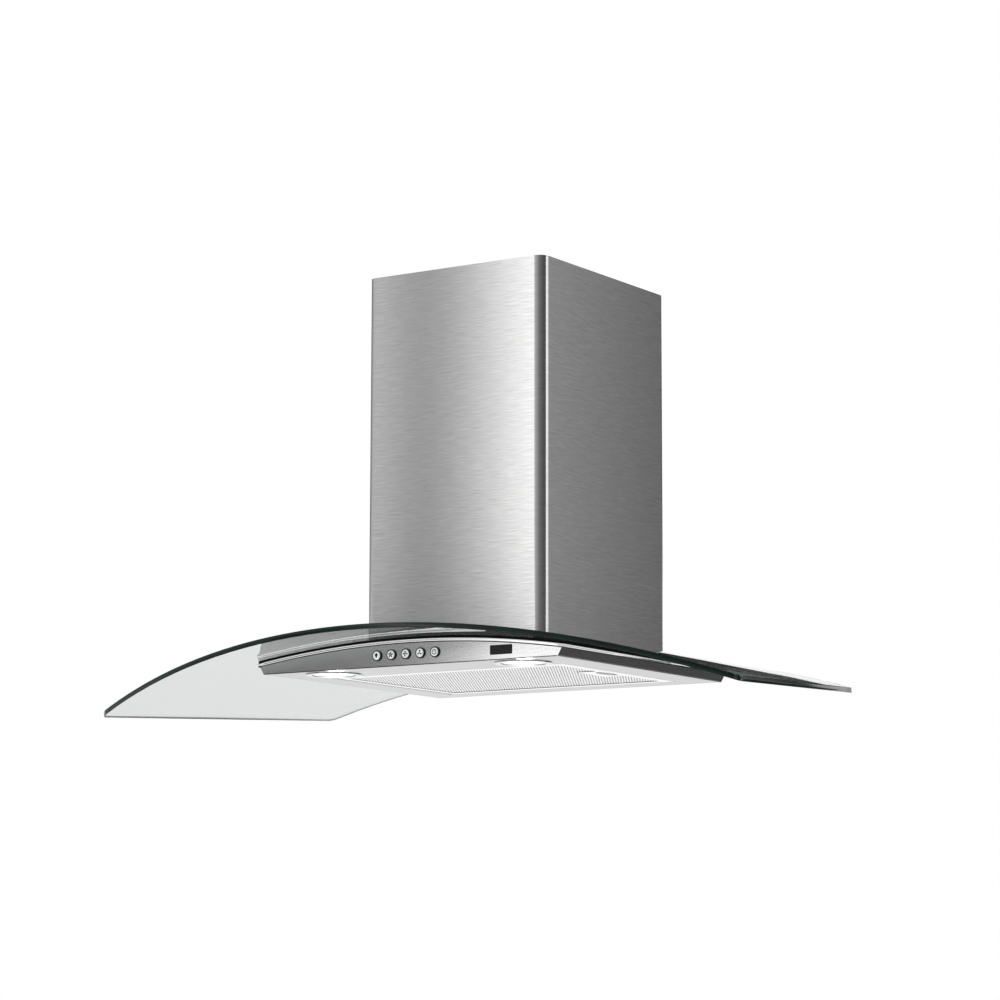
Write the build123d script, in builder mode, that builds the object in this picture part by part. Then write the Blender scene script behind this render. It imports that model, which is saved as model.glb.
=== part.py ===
from build123d import *
import math
import os

os.makedirs("parts", exist_ok=True)

# Wall-hung range hood with an arched glass canopy. Millimetres, +Z up.
# The wall is the plane Y = 0 and the front of the hood faces -Y.
# The origin is the middle of the four wall screws, on the wall.
# Distances called "out" are measured from the wall towards the front.

# ---- Driving dimensions: glass canopy
glass_span = 898.0
glass_back_span = 770.0
glass_depth = 475.0
glass_thickness = 6.0
glass_corner_radius = 9.0
front_bow_radius = 1250.0
arch_radius = 1380.0
glass_crown_height = 33.5

# ---- Driving dimensions: canopy body under the glass
body_top_width = 432.0
body_base_width = 416.0
body_front_out = 380.0
body_back_out = 6.0
sheet = 1.2
gasket_thickness = 3.0
gasket_width = 12.0
strip_height = 3.5
strip_stand_out = 1.0
fascia_thickness = 1.5

# ---- Driving dimensions: controls in the fascia
button_names = ["lamp", "speed_1", "speed_2", "speed_3", "timer"]
button_pitch = 20.5
button_height = 13.7
button_radius = 5.0
button_stand_out = 2.5
button_cap_depth = 4.0
button_travel = 2.2
stem_width = 5.4
stem_length = 15.0
bezel_wall = 0.6
bezel_stand_out = 0.8
bezel_depth = 4.5
button_clearance = 0.3
guide_clearance = 0.05
switch_block_size = (108.0, 18.0, 22.0)

# ---- Driving dimensions: lamps in the underside
lamp_spacing = 270.0
lamp_out = 338.0
lamp_flange_radius = 34.0
lamp_hole_radius = 30.0
lamp_flange_thickness = 1.5
lamp_tube_wall = 1.5
lamp_tube_height = 12.0
lamp_lip = 2.0
lens_thickness = 2.5
lamp_housing_height = 12.0

# ---- Driving dimensions: grease filter
filter_width = 330.0
filter_depth = 255.0
filter_out = 172.5
filter_thickness = 9.0
filter_band = 14.0
filter_clearance = 1.0
rim_height = 8.0
filter_pin_radius = 2.0
filter_pin_reach = 1.0
face_thickness = 1.0
face_recess = 0.6
slot_pitch = 14.0
slot_width = 7.0
slot_length = 65.0
slot_bridge = 7.0
latch_block_width = 41.0
latch_block_depth = 64.0
latch_pocket_width = 16.0
latch_pocket_length = 44.0
latch_bar = (34.0, 20.0, 3.0)
latch_grip = (3.0, 2.6)
latch_travel = 5.0
latch_clearance = 0.2
latch_tip_gap = 0.3

# ---- Driving dimensions: inner cabinet and its hold on the wall and the glass
screws_above_underside = 170.0
wall_screw_spacing_x = 160.0
wall_screw_spacing_z = 90.0
wall_screw_radius = 4.0
bracket_width = 200.0
bracket_height = 130.0
bracket_thickness = 3.0
hook_width = 24.0
hook_spacing = 110.0
hook_rise = 10.0
box_width = 224.0
box_depth = 250.0
box_back_out = 4.0
box_height = 300.0
box_flange = 10.0
box_flange_thickness = 1.5
throat_width = 196.0
throat_depth = 220.0
clamp_spacing_x = 234.0
clamp_spacing_y = 150.0
clamp_screw_radius = 2.5
clamp_head_radius = 4.5
clamp_head_height = 3.5
clamp_nut_height = 4.0
sleeve_radius = 5.5
screw_clearance = 0.2
clamp_seat_gap = 0.05

# ---- Driving dimensions: blower
blower_out = 100.0
blower_height = 170.0
impeller_radius = 70.0
impeller_inner_radius = 58.0
impeller_half_width = 45.0
impeller_ring = 2.0
blade_count = 18
blade_thickness = 1.0
blade_sweep = 11.0
blade_bulge = 2.2
hub_radius = 10.0
hub_length = 16.0
shaft_radius = 4.0
scroll_gap = 8.0
scroll_growth = 10.0
scroll_half_width = 52.0
scroll_sheet = 1.5
scroll_throat = 90.0
scroll_flange = 8.0
tongue_radius = 5.0
inlet_radius = 60.0
inlet_lip = 2.0
inlet_flange = 10.0
motor_radius = 38.0
motor_length = 58.0
motor_gap = 7.0
mount_ring_wall = 4.0
mount_thickness = 4.0
mount_arm_width = 10.0
shaft_overhang = 6.0

# ---- Driving dimensions: outlet, damper and electrics
top_thickness = 1.5
collar_radius = 75.0
collar_wall = 1.5
collar_height = 45.0
collar_flange = 10.0
collar_flange_thickness = 1.5
damper_height = 8.0
damper_lip = 4.0
damper_lip_thickness = 1.5
flap_thickness = 1.0
flap_clearance = 1.5
flap_seat_gap = 0.3
flap_inner_gap = 4.8
damper_pin_radius = 2.0
knuckle_radius = 4.0
knuckle_length = 24.0
knuckle_gap = 1.0
control_box_size = (34.0, 56.0, 80.0)
control_box_height = 200.0
gland_x = 88.0
gland_out = 38.0
gland_radius = 8.0
gland_flange_radius = 12.0
gland_bore_radius = 4.2
gland_height = 16.0

# ---- Driving dimensions: chimney cover
chimney_width = 256.0
chimney_depth = 285.0
chimney_top_height = 492.0
chimney_corner_radius = 12.5
chimney_sheet = 1.0
chimney_return = 22.0
chimney_glass_gap = 0.3
chimney_bracket_below_top = 37.0
chimney_bracket_width = 30.0
chimney_bracket_sheet = 1.5
chimney_bracket_hole_spacing = 140.0
chimney_bracket_hole_radius = 3.0
cover_screw_radius = 2.0
cover_screw_head_radius = 4.0
cover_screw_head_height = 2.0


def level(height):
    """Z coordinate of a height above the underside of the hood."""
    return height - screws_above_underside


# ---- Derived places
glass_top_radius = arch_radius + glass_thickness
shell_radius = arch_radius - gasket_thickness
arch_axis_z = level(glass_crown_height) - arch_radius
body_depth = body_front_out - body_back_out
box_middle_out = box_back_out + box_depth / 2
chimney_bracket_height = chimney_top_height - chimney_bracket_below_top


def arch_drop(x, radius):
    """How far an arch of this radius has come down at this distance from its crown."""
    return radius - math.sqrt(radius**2 - x**2)


def arch_layer(low_radius, high_radius):
    """Ring of sheet that follows the glass arch, as a profile on the wall plane."""
    with BuildSketch(Plane.XZ) as ring:
        with Locations((0, arch_axis_z)):
            Circle(high_radius)
            Circle(low_radius, mode=Mode.SUBTRACT)
    return ring.sketch


def arch_disc(radius):
    """Everything under an arch of this radius, as a profile on the wall plane."""
    with BuildSketch(Plane.XZ) as disc:
        with Locations((0, arch_axis_z)):
            Circle(radius)
    return disc.sketch


side_height = glass_crown_height - gasket_thickness - arch_drop(body_top_width / 2, shell_radius)
side_lean = (body_top_width - body_base_width) / 2


def body_section(out, inset):
    """Front outline of the canopy body, drawn this far out and smaller by the inset."""
    half_base = body_base_width / 2 - inset
    half_crown = half_base + side_lean * glass_crown_height / side_height
    with BuildSketch(Plane.XZ.offset(out)) as section:
        with BuildLine():
            Polyline(
                (-half_base, level(0)),
                (half_base, level(0)),
                (half_crown, level(glass_crown_height)),
                (-half_crown, level(glass_crown_height)),
                close=True,
            )
        make_face()
        with Locations((0, arch_axis_z)):
            Circle(shell_radius - inset, mode=Mode.INTERSECT)
    return section.sketch


def on_arch(x, out, radius):
    """Location on an arch, with its own Z axis square to the sheet."""
    angle = math.asin(x / arch_radius)
    height = arch_axis_z + radius * math.cos(angle)
    return Location((radius * math.sin(angle), -out, height), (0, math.degrees(angle), 0))


def plan_plane(height):
    """Horizontal sketch plane at a height above the underside."""
    return Plane.XY.offset(level(height))


clamp_places = [
    (x, box_middle_out + y)
    for x in (-clamp_spacing_x / 2, clamp_spacing_x / 2)
    for y in (-clamp_spacing_y / 2, clamp_spacing_y / 2)
]

# ---- Glass canopy: arched sheet cut to its plan, with the air throat and the clamp holes
tip_out = glass_depth - arch_drop(glass_span / 2, front_bow_radius)
with BuildPart() as glass_canopy:
    extrude(arch_layer(arch_radius, glass_top_radius), amount=glass_depth)
    with BuildSketch(Plane.XY.offset(arch_axis_z)):
        with BuildLine():
            ThreePointArc((-glass_span / 2, -tip_out), (0, -glass_depth), (glass_span / 2, -tip_out))
            Polyline(
                (glass_span / 2, -tip_out),
                (glass_back_span / 2, 0),
                (-glass_back_span / 2, 0),
                (-glass_span / 2, -tip_out),
            )
        outline = make_face()
        fillet(outline.vertices(), radius=glass_corner_radius)
        with Locations((0, -box_middle_out)):
            Rectangle(throat_width, throat_depth, mode=Mode.SUBTRACT)
    extrude(amount=2 * arch_radius, mode=Mode.INTERSECT)
    for x, out in clamp_places:
        with Locations(on_arch(x, out, glass_top_radius)):
            Hole(radius=sleeve_radius, depth=2 * glass_thickness)
glass_canopy.part.label = "glass_canopy"
export_step(glass_canopy.part, "parts/glass_canopy.step")

# ---- Black seal under the glass: a ring on the body's rim and one round the air throat
seal_width = clamp_spacing_x / 2 + 2 * sleeve_radius - throat_width / 2
with BuildPart() as glass_gasket:
    extrude(arch_layer(shell_radius, arch_radius), amount=body_front_out)
    with BuildSketch(Plane.XY.offset(arch_axis_z)):
        with Locations((0, -(body_front_out + body_back_out) / 2)):
            Rectangle(body_top_width, body_depth)
            Rectangle(body_top_width - 2 * gasket_width, body_depth - 2 * gasket_width, mode=Mode.SUBTRACT)
        with Locations((0, -box_middle_out)):
            Rectangle(throat_width + 2 * seal_width, throat_depth)
            Rectangle(throat_width, throat_depth - 2 * gasket_width, mode=Mode.SUBTRACT)
    extrude(amount=2 * arch_radius, mode=Mode.INTERSECT)
    for x, out in clamp_places:
        with Locations(on_arch(x, out, arch_radius)):
            Hole(radius=clamp_screw_radius + screw_clearance, depth=2 * gasket_thickness)
glass_gasket.part.label = "glass_gasket"
export_step(glass_gasket.part, "parts/glass_gasket.step")

# ---- Sleeves that keep the clamp screws off the glass
with BuildPart() as glass_sleeves:
    for x, out in clamp_places:
        with Locations(on_arch(x, out, arch_radius + glass_thickness / 2)):
            Cylinder(radius=sleeve_radius, height=glass_thickness - 2 * clamp_seat_gap)
            Cylinder(
                radius=clamp_screw_radius + screw_clearance,
                height=glass_thickness,
                mode=Mode.SUBTRACT,
            )
glass_sleeves.part.label = "glass_sleeves"
export_step(glass_sleeves.part, "parts/glass_sleeves.step")

# ---- Clamp screws: six-sided heads on the cabinet's flange, nuts under the canopy shell
flange_top_radius = glass_top_radius + box_flange_thickness
nut_top_radius = shell_radius - sheet - clamp_seat_gap
with BuildPart() as glass_screws:
    for x, out in clamp_places:
        with BuildSketch(Plane(on_arch(x, out, flange_top_radius))):
            RegularPolygon(radius=clamp_head_radius, side_count=6)
        extrude(amount=clamp_head_height)
        with BuildSketch(Plane(on_arch(x, out, flange_top_radius))):
            Circle(clamp_screw_radius)
        extrude(amount=-(flange_top_radius - nut_top_radius + clamp_nut_height))
        with BuildSketch(Plane(on_arch(x, out, nut_top_radius))):
            RegularPolygon(radius=clamp_head_radius, side_count=6)
        extrude(amount=-clamp_nut_height)
glass_screws.part.label = "glass_screws"
export_step(glass_screws.part, "parts/glass_screws.step")

# ---- Canopy shell: arched roof, leaning sides and a rear wall, open below and in front
with BuildPart() as canopy_shell:
    extrude(body_section(body_back_out, 0), amount=body_depth - fascia_thickness)
    extrude(body_section(body_back_out + sheet, sheet), amount=body_depth, mode=Mode.SUBTRACT)
    with BuildSketch(plan_plane(0)):
        with Locations((0, -glass_depth / 2)):
            Rectangle(glass_span, glass_depth)
    extrude(amount=sheet, mode=Mode.SUBTRACT)
    with BuildSketch(plan_plane(side_height)):
        with Locations((0, -box_middle_out)):
            Rectangle(throat_width, throat_depth - 2 * gasket_width)
    extrude(amount=glass_crown_height, mode=Mode.SUBTRACT)
    for x, out in clamp_places:
        with Locations(on_arch(x, out, shell_radius)):
            Hole(radius=clamp_screw_radius + screw_clearance, depth=2 * sheet)
canopy_shell.part.label = "canopy_shell"
export_step(canopy_shell.part, "parts/canopy_shell.step")

# ---- Fascia: front panel with the five button holes
button_places = [(i - (len(button_names) - 1) / 2) * button_pitch for i in range(len(button_names))]
bezel_radius = button_radius + button_clearance + bezel_wall
with BuildPart() as fascia:
    extrude(body_section(body_front_out - fascia_thickness, 0), amount=fascia_thickness)
    with BuildSketch(Plane.XZ.offset(body_front_out)):
        with Locations([(x, level(button_height)) for x in button_places]):
            Circle(bezel_radius)
    extrude(amount=-fascia_thickness, mode=Mode.SUBTRACT)
fascia.part.label = "fascia"
export_step(fascia.part, "parts/fascia.step")

# ---- Polished strip under the seal, round the front and both sides
with BuildPart() as trim_strip:
    extrude(body_section(body_back_out, -strip_stand_out), amount=body_depth + strip_stand_out)
    extrude(body_section(body_back_out, 0), amount=body_depth, mode=Mode.SUBTRACT)
    extrude(
        arch_layer(shell_radius - strip_height, shell_radius),
        amount=glass_depth,
        mode=Mode.INTERSECT,
    )
trim_strip.part.label = "trim_strip"
export_step(trim_strip.part, "parts/trim_strip.step")

# ---- Button bezels: dark rings that line the holes of the fascia
with BuildPart() as button_bezels:
    with BuildSketch(Plane.XZ.offset(body_front_out + bezel_stand_out)):
        with Locations([(x, level(button_height)) for x in button_places]):
            Circle(bezel_radius)
            Circle(button_radius + button_clearance, mode=Mode.SUBTRACT)
    extrude(amount=-(bezel_stand_out + bezel_depth))
button_bezels.part.label = "button_bezels"
export_step(button_bezels.part, "parts/button_bezels.step")

# ---- Switch block: guides the five square stems behind the fascia
block_width, block_depth, block_height = switch_block_size
block_front_out = body_front_out - bezel_depth
stem_tip_out = body_front_out + button_stand_out - button_cap_depth - stem_length
with BuildPart() as switch_block:
    with BuildSketch(Plane.XZ.offset(block_front_out)):
        with Locations((0, level(sheet))):
            Rectangle(block_width, block_height, align=(Align.CENTER, Align.MIN))
    extrude(amount=-block_depth)
    with BuildSketch(Plane.XZ.offset(block_front_out)):
        with Locations([(x, level(button_height)) for x in button_places]):
            Rectangle(stem_width + 2 * guide_clearance, stem_width + 2 * guide_clearance)
    extrude(amount=-(block_front_out - stem_tip_out + button_travel + stem_width / 4), mode=Mode.SUBTRACT)
switch_block.part.label = "switch_block"
export_step(switch_block.part, "parts/switch_block.step")

# ---- Push buttons: a round cap on a square stem, which keeps its mark upright
cap_front_out = body_front_out + button_stand_out
for name, x in zip(button_names, button_places):
    with BuildPart() as button:
        with BuildSketch(Plane.XZ.offset(cap_front_out)):
            with Locations((x, level(button_height))):
                Circle(button_radius)
        extrude(amount=-button_cap_depth)
        rim = button.edges().filter_by(GeomType.CIRCLE).sort_by(Axis.Y)[0]
        chamfer(rim, length=button_radius / 10)
        with BuildSketch(Plane.XZ.offset(cap_front_out - button_cap_depth)):
            with Locations((x, level(button_height))):
                Rectangle(stem_width, stem_width)
        extrude(amount=-stem_length)
    button.part.label = "button_" + name
    export_step(button.part, "parts/button_" + name + ".step")

# ---- Underside plate: lamp holes and the filter opening with its upturned rim
opening_width = filter_width + 2 * filter_clearance
opening_depth = filter_depth + 2 * filter_clearance
pivot_x = -(filter_width - filter_thickness) / 2
pivot_height = filter_thickness / 2
with BuildPart() as underside_plate:
    extrude(body_section(body_back_out, 0), amount=body_depth - fascia_thickness)
    with BuildSketch(plan_plane(0)):
        with Locations((0, -glass_depth / 2)):
            Rectangle(glass_span, glass_depth)
    extrude(amount=sheet, mode=Mode.INTERSECT)
    with BuildSketch(plan_plane(0)):
        with Locations((0, -filter_out)):
            Rectangle(opening_width + 2 * sheet, opening_depth + 2 * sheet)
    extrude(amount=rim_height)
    with BuildSketch(plan_plane(0)):
        with Locations((0, -filter_out)):
            Rectangle(opening_width, opening_depth)
        with Locations((-lamp_spacing / 2, -lamp_out), (lamp_spacing / 2, -lamp_out)):
            Circle(lamp_hole_radius)
    extrude(amount=rim_height, mode=Mode.SUBTRACT)
    with BuildSketch(Plane.XZ):
        with Locations((pivot_x, level(pivot_height))):
            Circle(filter_pin_radius + guide_clearance)
    extrude(amount=body_front_out, mode=Mode.SUBTRACT)
underside_plate.part.label = "underside_plate"
export_step(underside_plate.part, "parts/underside_plate.step")

# ---- Lamps: chrome ring, lens on the ring's lip and the lamp housing above it
for side, x in (("left", -lamp_spacing / 2), ("right", lamp_spacing / 2)):
    lamp_axis = Plane((x, -lamp_out, level(0)))
    lamp_bore = lamp_hole_radius - lamp_tube_wall

    with BuildPart() as lamp_ring:
        with BuildSketch(lamp_axis):
            Circle(lamp_flange_radius)
        extrude(amount=-lamp_flange_thickness)
        lower_rim = lamp_ring.edges().filter_by(GeomType.CIRCLE).sort_by(Axis.Z)[0]
        chamfer(lower_rim, length=lamp_flange_thickness / 2)
        with BuildSketch(lamp_axis):
            Circle(lamp_hole_radius)
        extrude(amount=lamp_tube_height)
        with BuildSketch(lamp_axis):
            Circle(lamp_bore)
        extrude(amount=lamp_tube_height, mode=Mode.SUBTRACT)
        with BuildSketch(lamp_axis):
            Circle(lamp_bore - lamp_lip)
        extrude(amount=-lamp_flange_thickness, mode=Mode.SUBTRACT)
    lamp_ring.part.label = "lamp_ring_" + side
    export_step(lamp_ring.part, "parts/lamp_ring_" + side + ".step")

    with BuildPart() as lamp_lens:
        with BuildSketch(lamp_axis):
            Circle(lamp_bore)
        extrude(amount=lens_thickness)
    lamp_lens.part.label = "lamp_lens_" + side
    export_step(lamp_lens.part, "parts/lamp_lens_" + side + ".step")

    with BuildPart() as lamp_housing:
        with BuildSketch(lamp_axis.offset(lens_thickness)):
            Circle(lamp_bore)
        extrude(amount=lamp_housing_height)
        crown = lamp_housing.edges().filter_by(GeomType.CIRCLE).sort_by(Axis.Z)[-1]
        chamfer(crown, length=lamp_housing_height / 4)
    lamp_housing.part.label = "lamp_housing_" + side
    export_step(lamp_housing.part, "parts/lamp_housing_" + side + ".step")

# ---- Filter frame: band, half-round pivot edge with two pins, and the latch block
band_inner_width = filter_width - 2 * filter_band
band_inner_depth = filter_depth - 2 * filter_band
latch_block_x = filter_width / 2 - latch_block_width / 2
bar_length, bar_width, bar_thickness = latch_bar
grip_thickness, grip_drop = latch_grip
bar_tip_x = opening_width / 2 - latch_tip_gap
bar_tail_x = bar_tip_x - bar_length
bar_bottom_height = (filter_thickness - bar_thickness) / 2 + face_recess
channel_length = bar_length + latch_travel + latch_clearance
pocket_x = bar_tail_x + bar_length / 2 - latch_travel / 2
pin_overhang = filter_clearance + sheet + filter_pin_reach
with BuildPart() as filter_frame:
    with BuildSketch(plan_plane(0)):
        with Locations((filter_thickness / 4, -filter_out)):
            Rectangle(filter_width - filter_thickness / 2, filter_depth)
    extrude(amount=filter_thickness)
    with BuildSketch(Plane.XZ.offset(filter_out - filter_depth / 2)):
        with Locations((pivot_x, level(pivot_height))):
            Circle(filter_thickness / 2)
    extrude(amount=filter_depth)
    with BuildSketch(Plane.XZ.offset(filter_out - filter_depth / 2 - pin_overhang)):
        with Locations((pivot_x, level(pivot_height))):
            Circle(filter_pin_radius)
    extrude(amount=filter_depth + 2 * pin_overhang)
    with BuildSketch(plan_plane(0)):
        with Locations((0, -filter_out)):
            Rectangle(band_inner_width, band_inner_depth)
        with Locations((latch_block_x, -filter_out)):
            Rectangle(latch_block_width, latch_block_depth, mode=Mode.SUBTRACT)
    extrude(amount=filter_thickness, mode=Mode.SUBTRACT)
    with BuildSketch(plan_plane(0)):
        with Locations((pocket_x, -filter_out)):
            Ellipse(latch_pocket_width / 2, latch_pocket_length / 2)
    extrude(amount=bar_bottom_height, mode=Mode.SUBTRACT)
    with BuildSketch(plan_plane(bar_bottom_height - latch_clearance)):
        with Locations((filter_width / 2, -filter_out)):
            Rectangle(
                channel_length,
                bar_width + 2 * latch_clearance,
                align=(Align.MAX, Align.CENTER),
            )
    extrude(amount=bar_thickness + 2 * latch_clearance, mode=Mode.SUBTRACT)
filter_frame.part.label = "filter_frame"
export_step(filter_frame.part, "parts/filter_frame.step")

# ---- Slotted sheet of the filter, cut back round the latch block
slot_rows = int((band_inner_depth - slot_bridge) / (slot_length + slot_bridge))
slot_columns = int((band_inner_width - slot_bridge) / slot_pitch)
row_pitch = slot_length + slot_bridge
block_left_x = filter_width / 2 - latch_block_width
slot_places = [
    (x, y)
    for x in [(i - (slot_columns - 1) / 2) * slot_pitch for i in range(slot_columns)]
    for y in [(j - (slot_rows - 1) / 2) * row_pitch for j in range(slot_rows)]
    if x < block_left_x - slot_pitch / 2 or abs(y) > (latch_block_depth + slot_length) / 2
]
with BuildPart() as filter_face:
    with BuildSketch(plan_plane(face_recess)):
        with Locations((0, -filter_out)):
            Rectangle(band_inner_width, band_inner_depth)
        with Locations((latch_block_x, -filter_out)):
            Rectangle(latch_block_width, latch_block_depth, mode=Mode.SUBTRACT)
        with Locations([(x, y - filter_out) for x, y in slot_places]):
            Rectangle(slot_width, slot_length, mode=Mode.SUBTRACT)
    extrude(amount=face_thickness)
filter_face.part.label = "filter_face"
export_step(filter_face.part, "parts/filter_face.step")

# ---- Mesh pack of the filter, behind the slotted sheet
core_bottom_height = face_recess + face_thickness
with BuildPart() as filter_core:
    with BuildSketch(plan_plane(core_bottom_height)):
        with Locations((0, -filter_out)):
            Rectangle(band_inner_width, band_inner_depth)
        with Locations((latch_block_x, -filter_out)):
            Rectangle(latch_block_width, latch_block_depth, mode=Mode.SUBTRACT)
    extrude(amount=filter_thickness - core_bottom_height - face_recess)
filter_core.part.label = "filter_core"
export_step(filter_core.part, "parts/filter_core.step")

# ---- Finger latch: a bar in the frame's channel with a grip in the pocket
with BuildPart() as filter_latch:
    with BuildSketch(plan_plane(bar_bottom_height)):
        with Locations((bar_tip_x, -filter_out)):
            Rectangle(bar_length, bar_width, align=(Align.MAX, Align.CENTER))
    extrude(amount=bar_thickness)
    with BuildSketch(plan_plane(bar_bottom_height)):
        with Locations((pocket_x + latch_travel / 2, -filter_out)):
            Rectangle(grip_thickness, bar_width - 2 * latch_clearance)
    extrude(amount=-grip_drop)
filter_latch.part.label = "filter_latch"
export_step(filter_latch.part, "parts/filter_latch.step")

# ---- Wall bracket: plate with four screw holes and two upturned hooks
hook_top_z = bracket_height / 2 - hook_rise
hook_lip_out = box_back_out + sheet + screw_clearance
with BuildPart() as wall_bracket:
    with BuildSketch(Plane.XZ):
        Rectangle(bracket_width, bracket_height)
        with GridLocations(wall_screw_spacing_x, wall_screw_spacing_z, 2, 2):
            Circle(wall_screw_radius, mode=Mode.SUBTRACT)
    extrude(amount=bracket_thickness)
    with BuildSketch(Plane.XZ):
        with Locations((-hook_spacing / 2, hook_top_z), (hook_spacing / 2, hook_top_z)):
            Rectangle(hook_width, bracket_thickness, align=(Align.CENTER, Align.MAX))
    extrude(amount=hook_lip_out + bracket_thickness)
    with BuildSketch(Plane.XZ.offset(hook_lip_out)):
        with Locations((-hook_spacing / 2, hook_top_z), (hook_spacing / 2, hook_top_z)):
            Rectangle(hook_width, hook_rise, align=(Align.CENTER, Align.MIN))
    extrude(amount=bracket_thickness)
wall_bracket.part.label = "wall_bracket"
export_step(wall_bracket.part, "parts/wall_bracket.step")

# ---- Inner cabinet: open-topped box on a flange that follows the glass
box_front_out = box_back_out + box_depth
flange_front_out = box_front_out + box_flange
flange_depth = flange_front_out - box_back_out
hook_slot_height = 2 * bracket_thickness + hook_rise
with BuildPart() as box_base:
    extrude(arch_layer(glass_top_radius, flange_top_radius), amount=glass_depth)
    with BuildSketch(Plane.XY.offset(arch_axis_z)):
        with Locations((0, -(flange_front_out + box_back_out) / 2)):
            Rectangle(box_width + 2 * box_flange, flange_depth)
        with Locations((0, -box_middle_out)):
            Rectangle(throat_width, throat_depth, mode=Mode.SUBTRACT)
    extrude(amount=2 * arch_radius, mode=Mode.INTERSECT)

with BuildPart() as motor_box:
    with BuildSketch(plan_plane(0)):
        with Locations((0, -box_middle_out)):
            Rectangle(box_width, box_depth)
            Rectangle(box_width - 2 * sheet, box_depth - 2 * sheet, mode=Mode.SUBTRACT)
    extrude(amount=box_height)
    extrude(arch_disc(flange_top_radius), amount=glass_depth, mode=Mode.SUBTRACT)
    add(box_base.part)
    with BuildSketch(Plane.XZ):
        with Locations((-hook_spacing / 2, hook_top_z), (hook_spacing / 2, hook_top_z)):
            Rectangle(hook_width + 2 * screw_clearance, hook_slot_height, align=(Align.CENTER, Align.MAX))
    extrude(amount=box_back_out + 2 * sheet, mode=Mode.SUBTRACT)
    for x, out in clamp_places:
        with Locations(on_arch(x, out, flange_top_radius)):
            Hole(radius=clamp_screw_radius + screw_clearance, depth=2 * box_flange_thickness)
motor_box.part.label = "motor_box"
export_step(motor_box.part, "parts/motor_box.step")

# ---- Blower scroll: three quarter arcs that grow, then a straight throat up to the outlet
scroll_first_radius = impeller_radius + scroll_gap
scroll_second_radius = scroll_first_radius + scroll_growth
scroll_third_radius = scroll_second_radius + scroll_growth
blower_y = -blower_out
blower_z = level(blower_height)
scroll_front_y = blower_y - scroll_growth - scroll_third_radius
scroll_throat_y = scroll_front_y + scroll_throat
scroll_top_z = level(box_height)
tongue_z = blower_z + math.sqrt(scroll_first_radius**2 - (scroll_throat_y - blower_y) ** 2)
tongue_angle = math.degrees(math.atan2(tongue_z - blower_z, scroll_throat_y - blower_y))
outlet_y = (scroll_front_y + scroll_throat_y) / 2


def scroll_outline(x, margin):
    """Side outline of the scroll's air space with a margin round it, on an upright plane at this X."""
    with BuildSketch(Plane.YZ.offset(x)) as outline:
        with BuildLine():
            CenterArc((blower_y, blower_z), scroll_first_radius, 0, tongue_angle)
            CenterArc((blower_y - scroll_growth, blower_z), scroll_second_radius, -90, 90)
            CenterArc((blower_y - scroll_growth, blower_z + scroll_growth), scroll_third_radius, 180, 90)
            Polyline(
                (scroll_front_y, blower_z + scroll_growth),
                (scroll_front_y, scroll_top_z),
                (scroll_throat_y, scroll_top_z),
                (scroll_throat_y, tongue_z),
            )
        make_face()
        tongue = outline.vertices().sort_by_distance((scroll_throat_y, tongue_z))[0]
        fillet(tongue, radius=tongue_radius)
        if margin > 0:
            offset(amount=margin, kind=Kind.INTERSECTION)
    return outline.sketch


with BuildPart() as blower_scroll:
    extrude(scroll_outline(-scroll_half_width, scroll_sheet), amount=2 * scroll_half_width)
    with BuildSketch(Plane.XY.offset(scroll_top_z)):
        with Locations((0, outlet_y)):
            Rectangle(2 * (scroll_half_width + scroll_flange), scroll_throat + 2 * scroll_flange)
    extrude(amount=-scroll_sheet)
    with BuildSketch(Plane.XY.offset(scroll_top_z)):
        with Locations((0, outlet_y)):
            Rectangle(glass_span, glass_depth)
    extrude(amount=scroll_sheet * 2, mode=Mode.SUBTRACT)
    extrude(
        scroll_outline(scroll_sheet - scroll_half_width, 0),
        amount=2 * (scroll_half_width - scroll_sheet),
        mode=Mode.SUBTRACT,
    )
    with BuildSketch(Plane.YZ.offset(-scroll_half_width)):
        with Locations((blower_y, blower_z)):
            Circle(inlet_radius)
    extrude(amount=2 * scroll_half_width, mode=Mode.SUBTRACT)
blower_scroll.part.label = "blower_scroll"
export_step(blower_scroll.part, "parts/blower_scroll.step")

# ---- Inlet rings on both sides of the scroll
inlet_inner_radius = inlet_radius - inlet_lip
with BuildPart() as inlet_rings:
    with BuildSketch(Plane.YZ.offset(scroll_half_width)):
        with Locations((blower_y, blower_z)):
            Circle(inlet_radius + inlet_flange)
    extrude(amount=scroll_sheet)
    with BuildSketch(Plane.YZ.offset(scroll_half_width - scroll_sheet)):
        with Locations((blower_y, blower_z)):
            Circle(inlet_radius)
    extrude(amount=scroll_sheet)
    with BuildSketch(Plane.YZ.offset(scroll_half_width - scroll_sheet)):
        with Locations((blower_y, blower_z)):
            Circle(inlet_inner_radius)
    extrude(amount=2 * scroll_sheet, mode=Mode.SUBTRACT)
    mouth = inlet_rings.edges().filter_by(GeomType.CIRCLE).group_by(Axis.X)[-1].sort_by(SortBy.RADIUS)[0]
    chamfer(mouth, length=scroll_sheet / 2)
    mirror(about=Plane.YZ)
inlet_rings.part.label = "inlet_rings"
export_step(inlet_rings.part, "parts/inlet_rings.step")

# ---- Impeller: forward-curved blades between two rings, on a disc and its hub
fan_plane = Plane((0, blower_y, blower_z), x_dir=(0, 1, 0), z_dir=(1, 0, 0))


def polar(radius, degrees):
    """Point at a radius and an angle about the fan's axis."""
    return (radius * math.cos(math.radians(degrees)), radius * math.sin(math.radians(degrees)))


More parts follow.
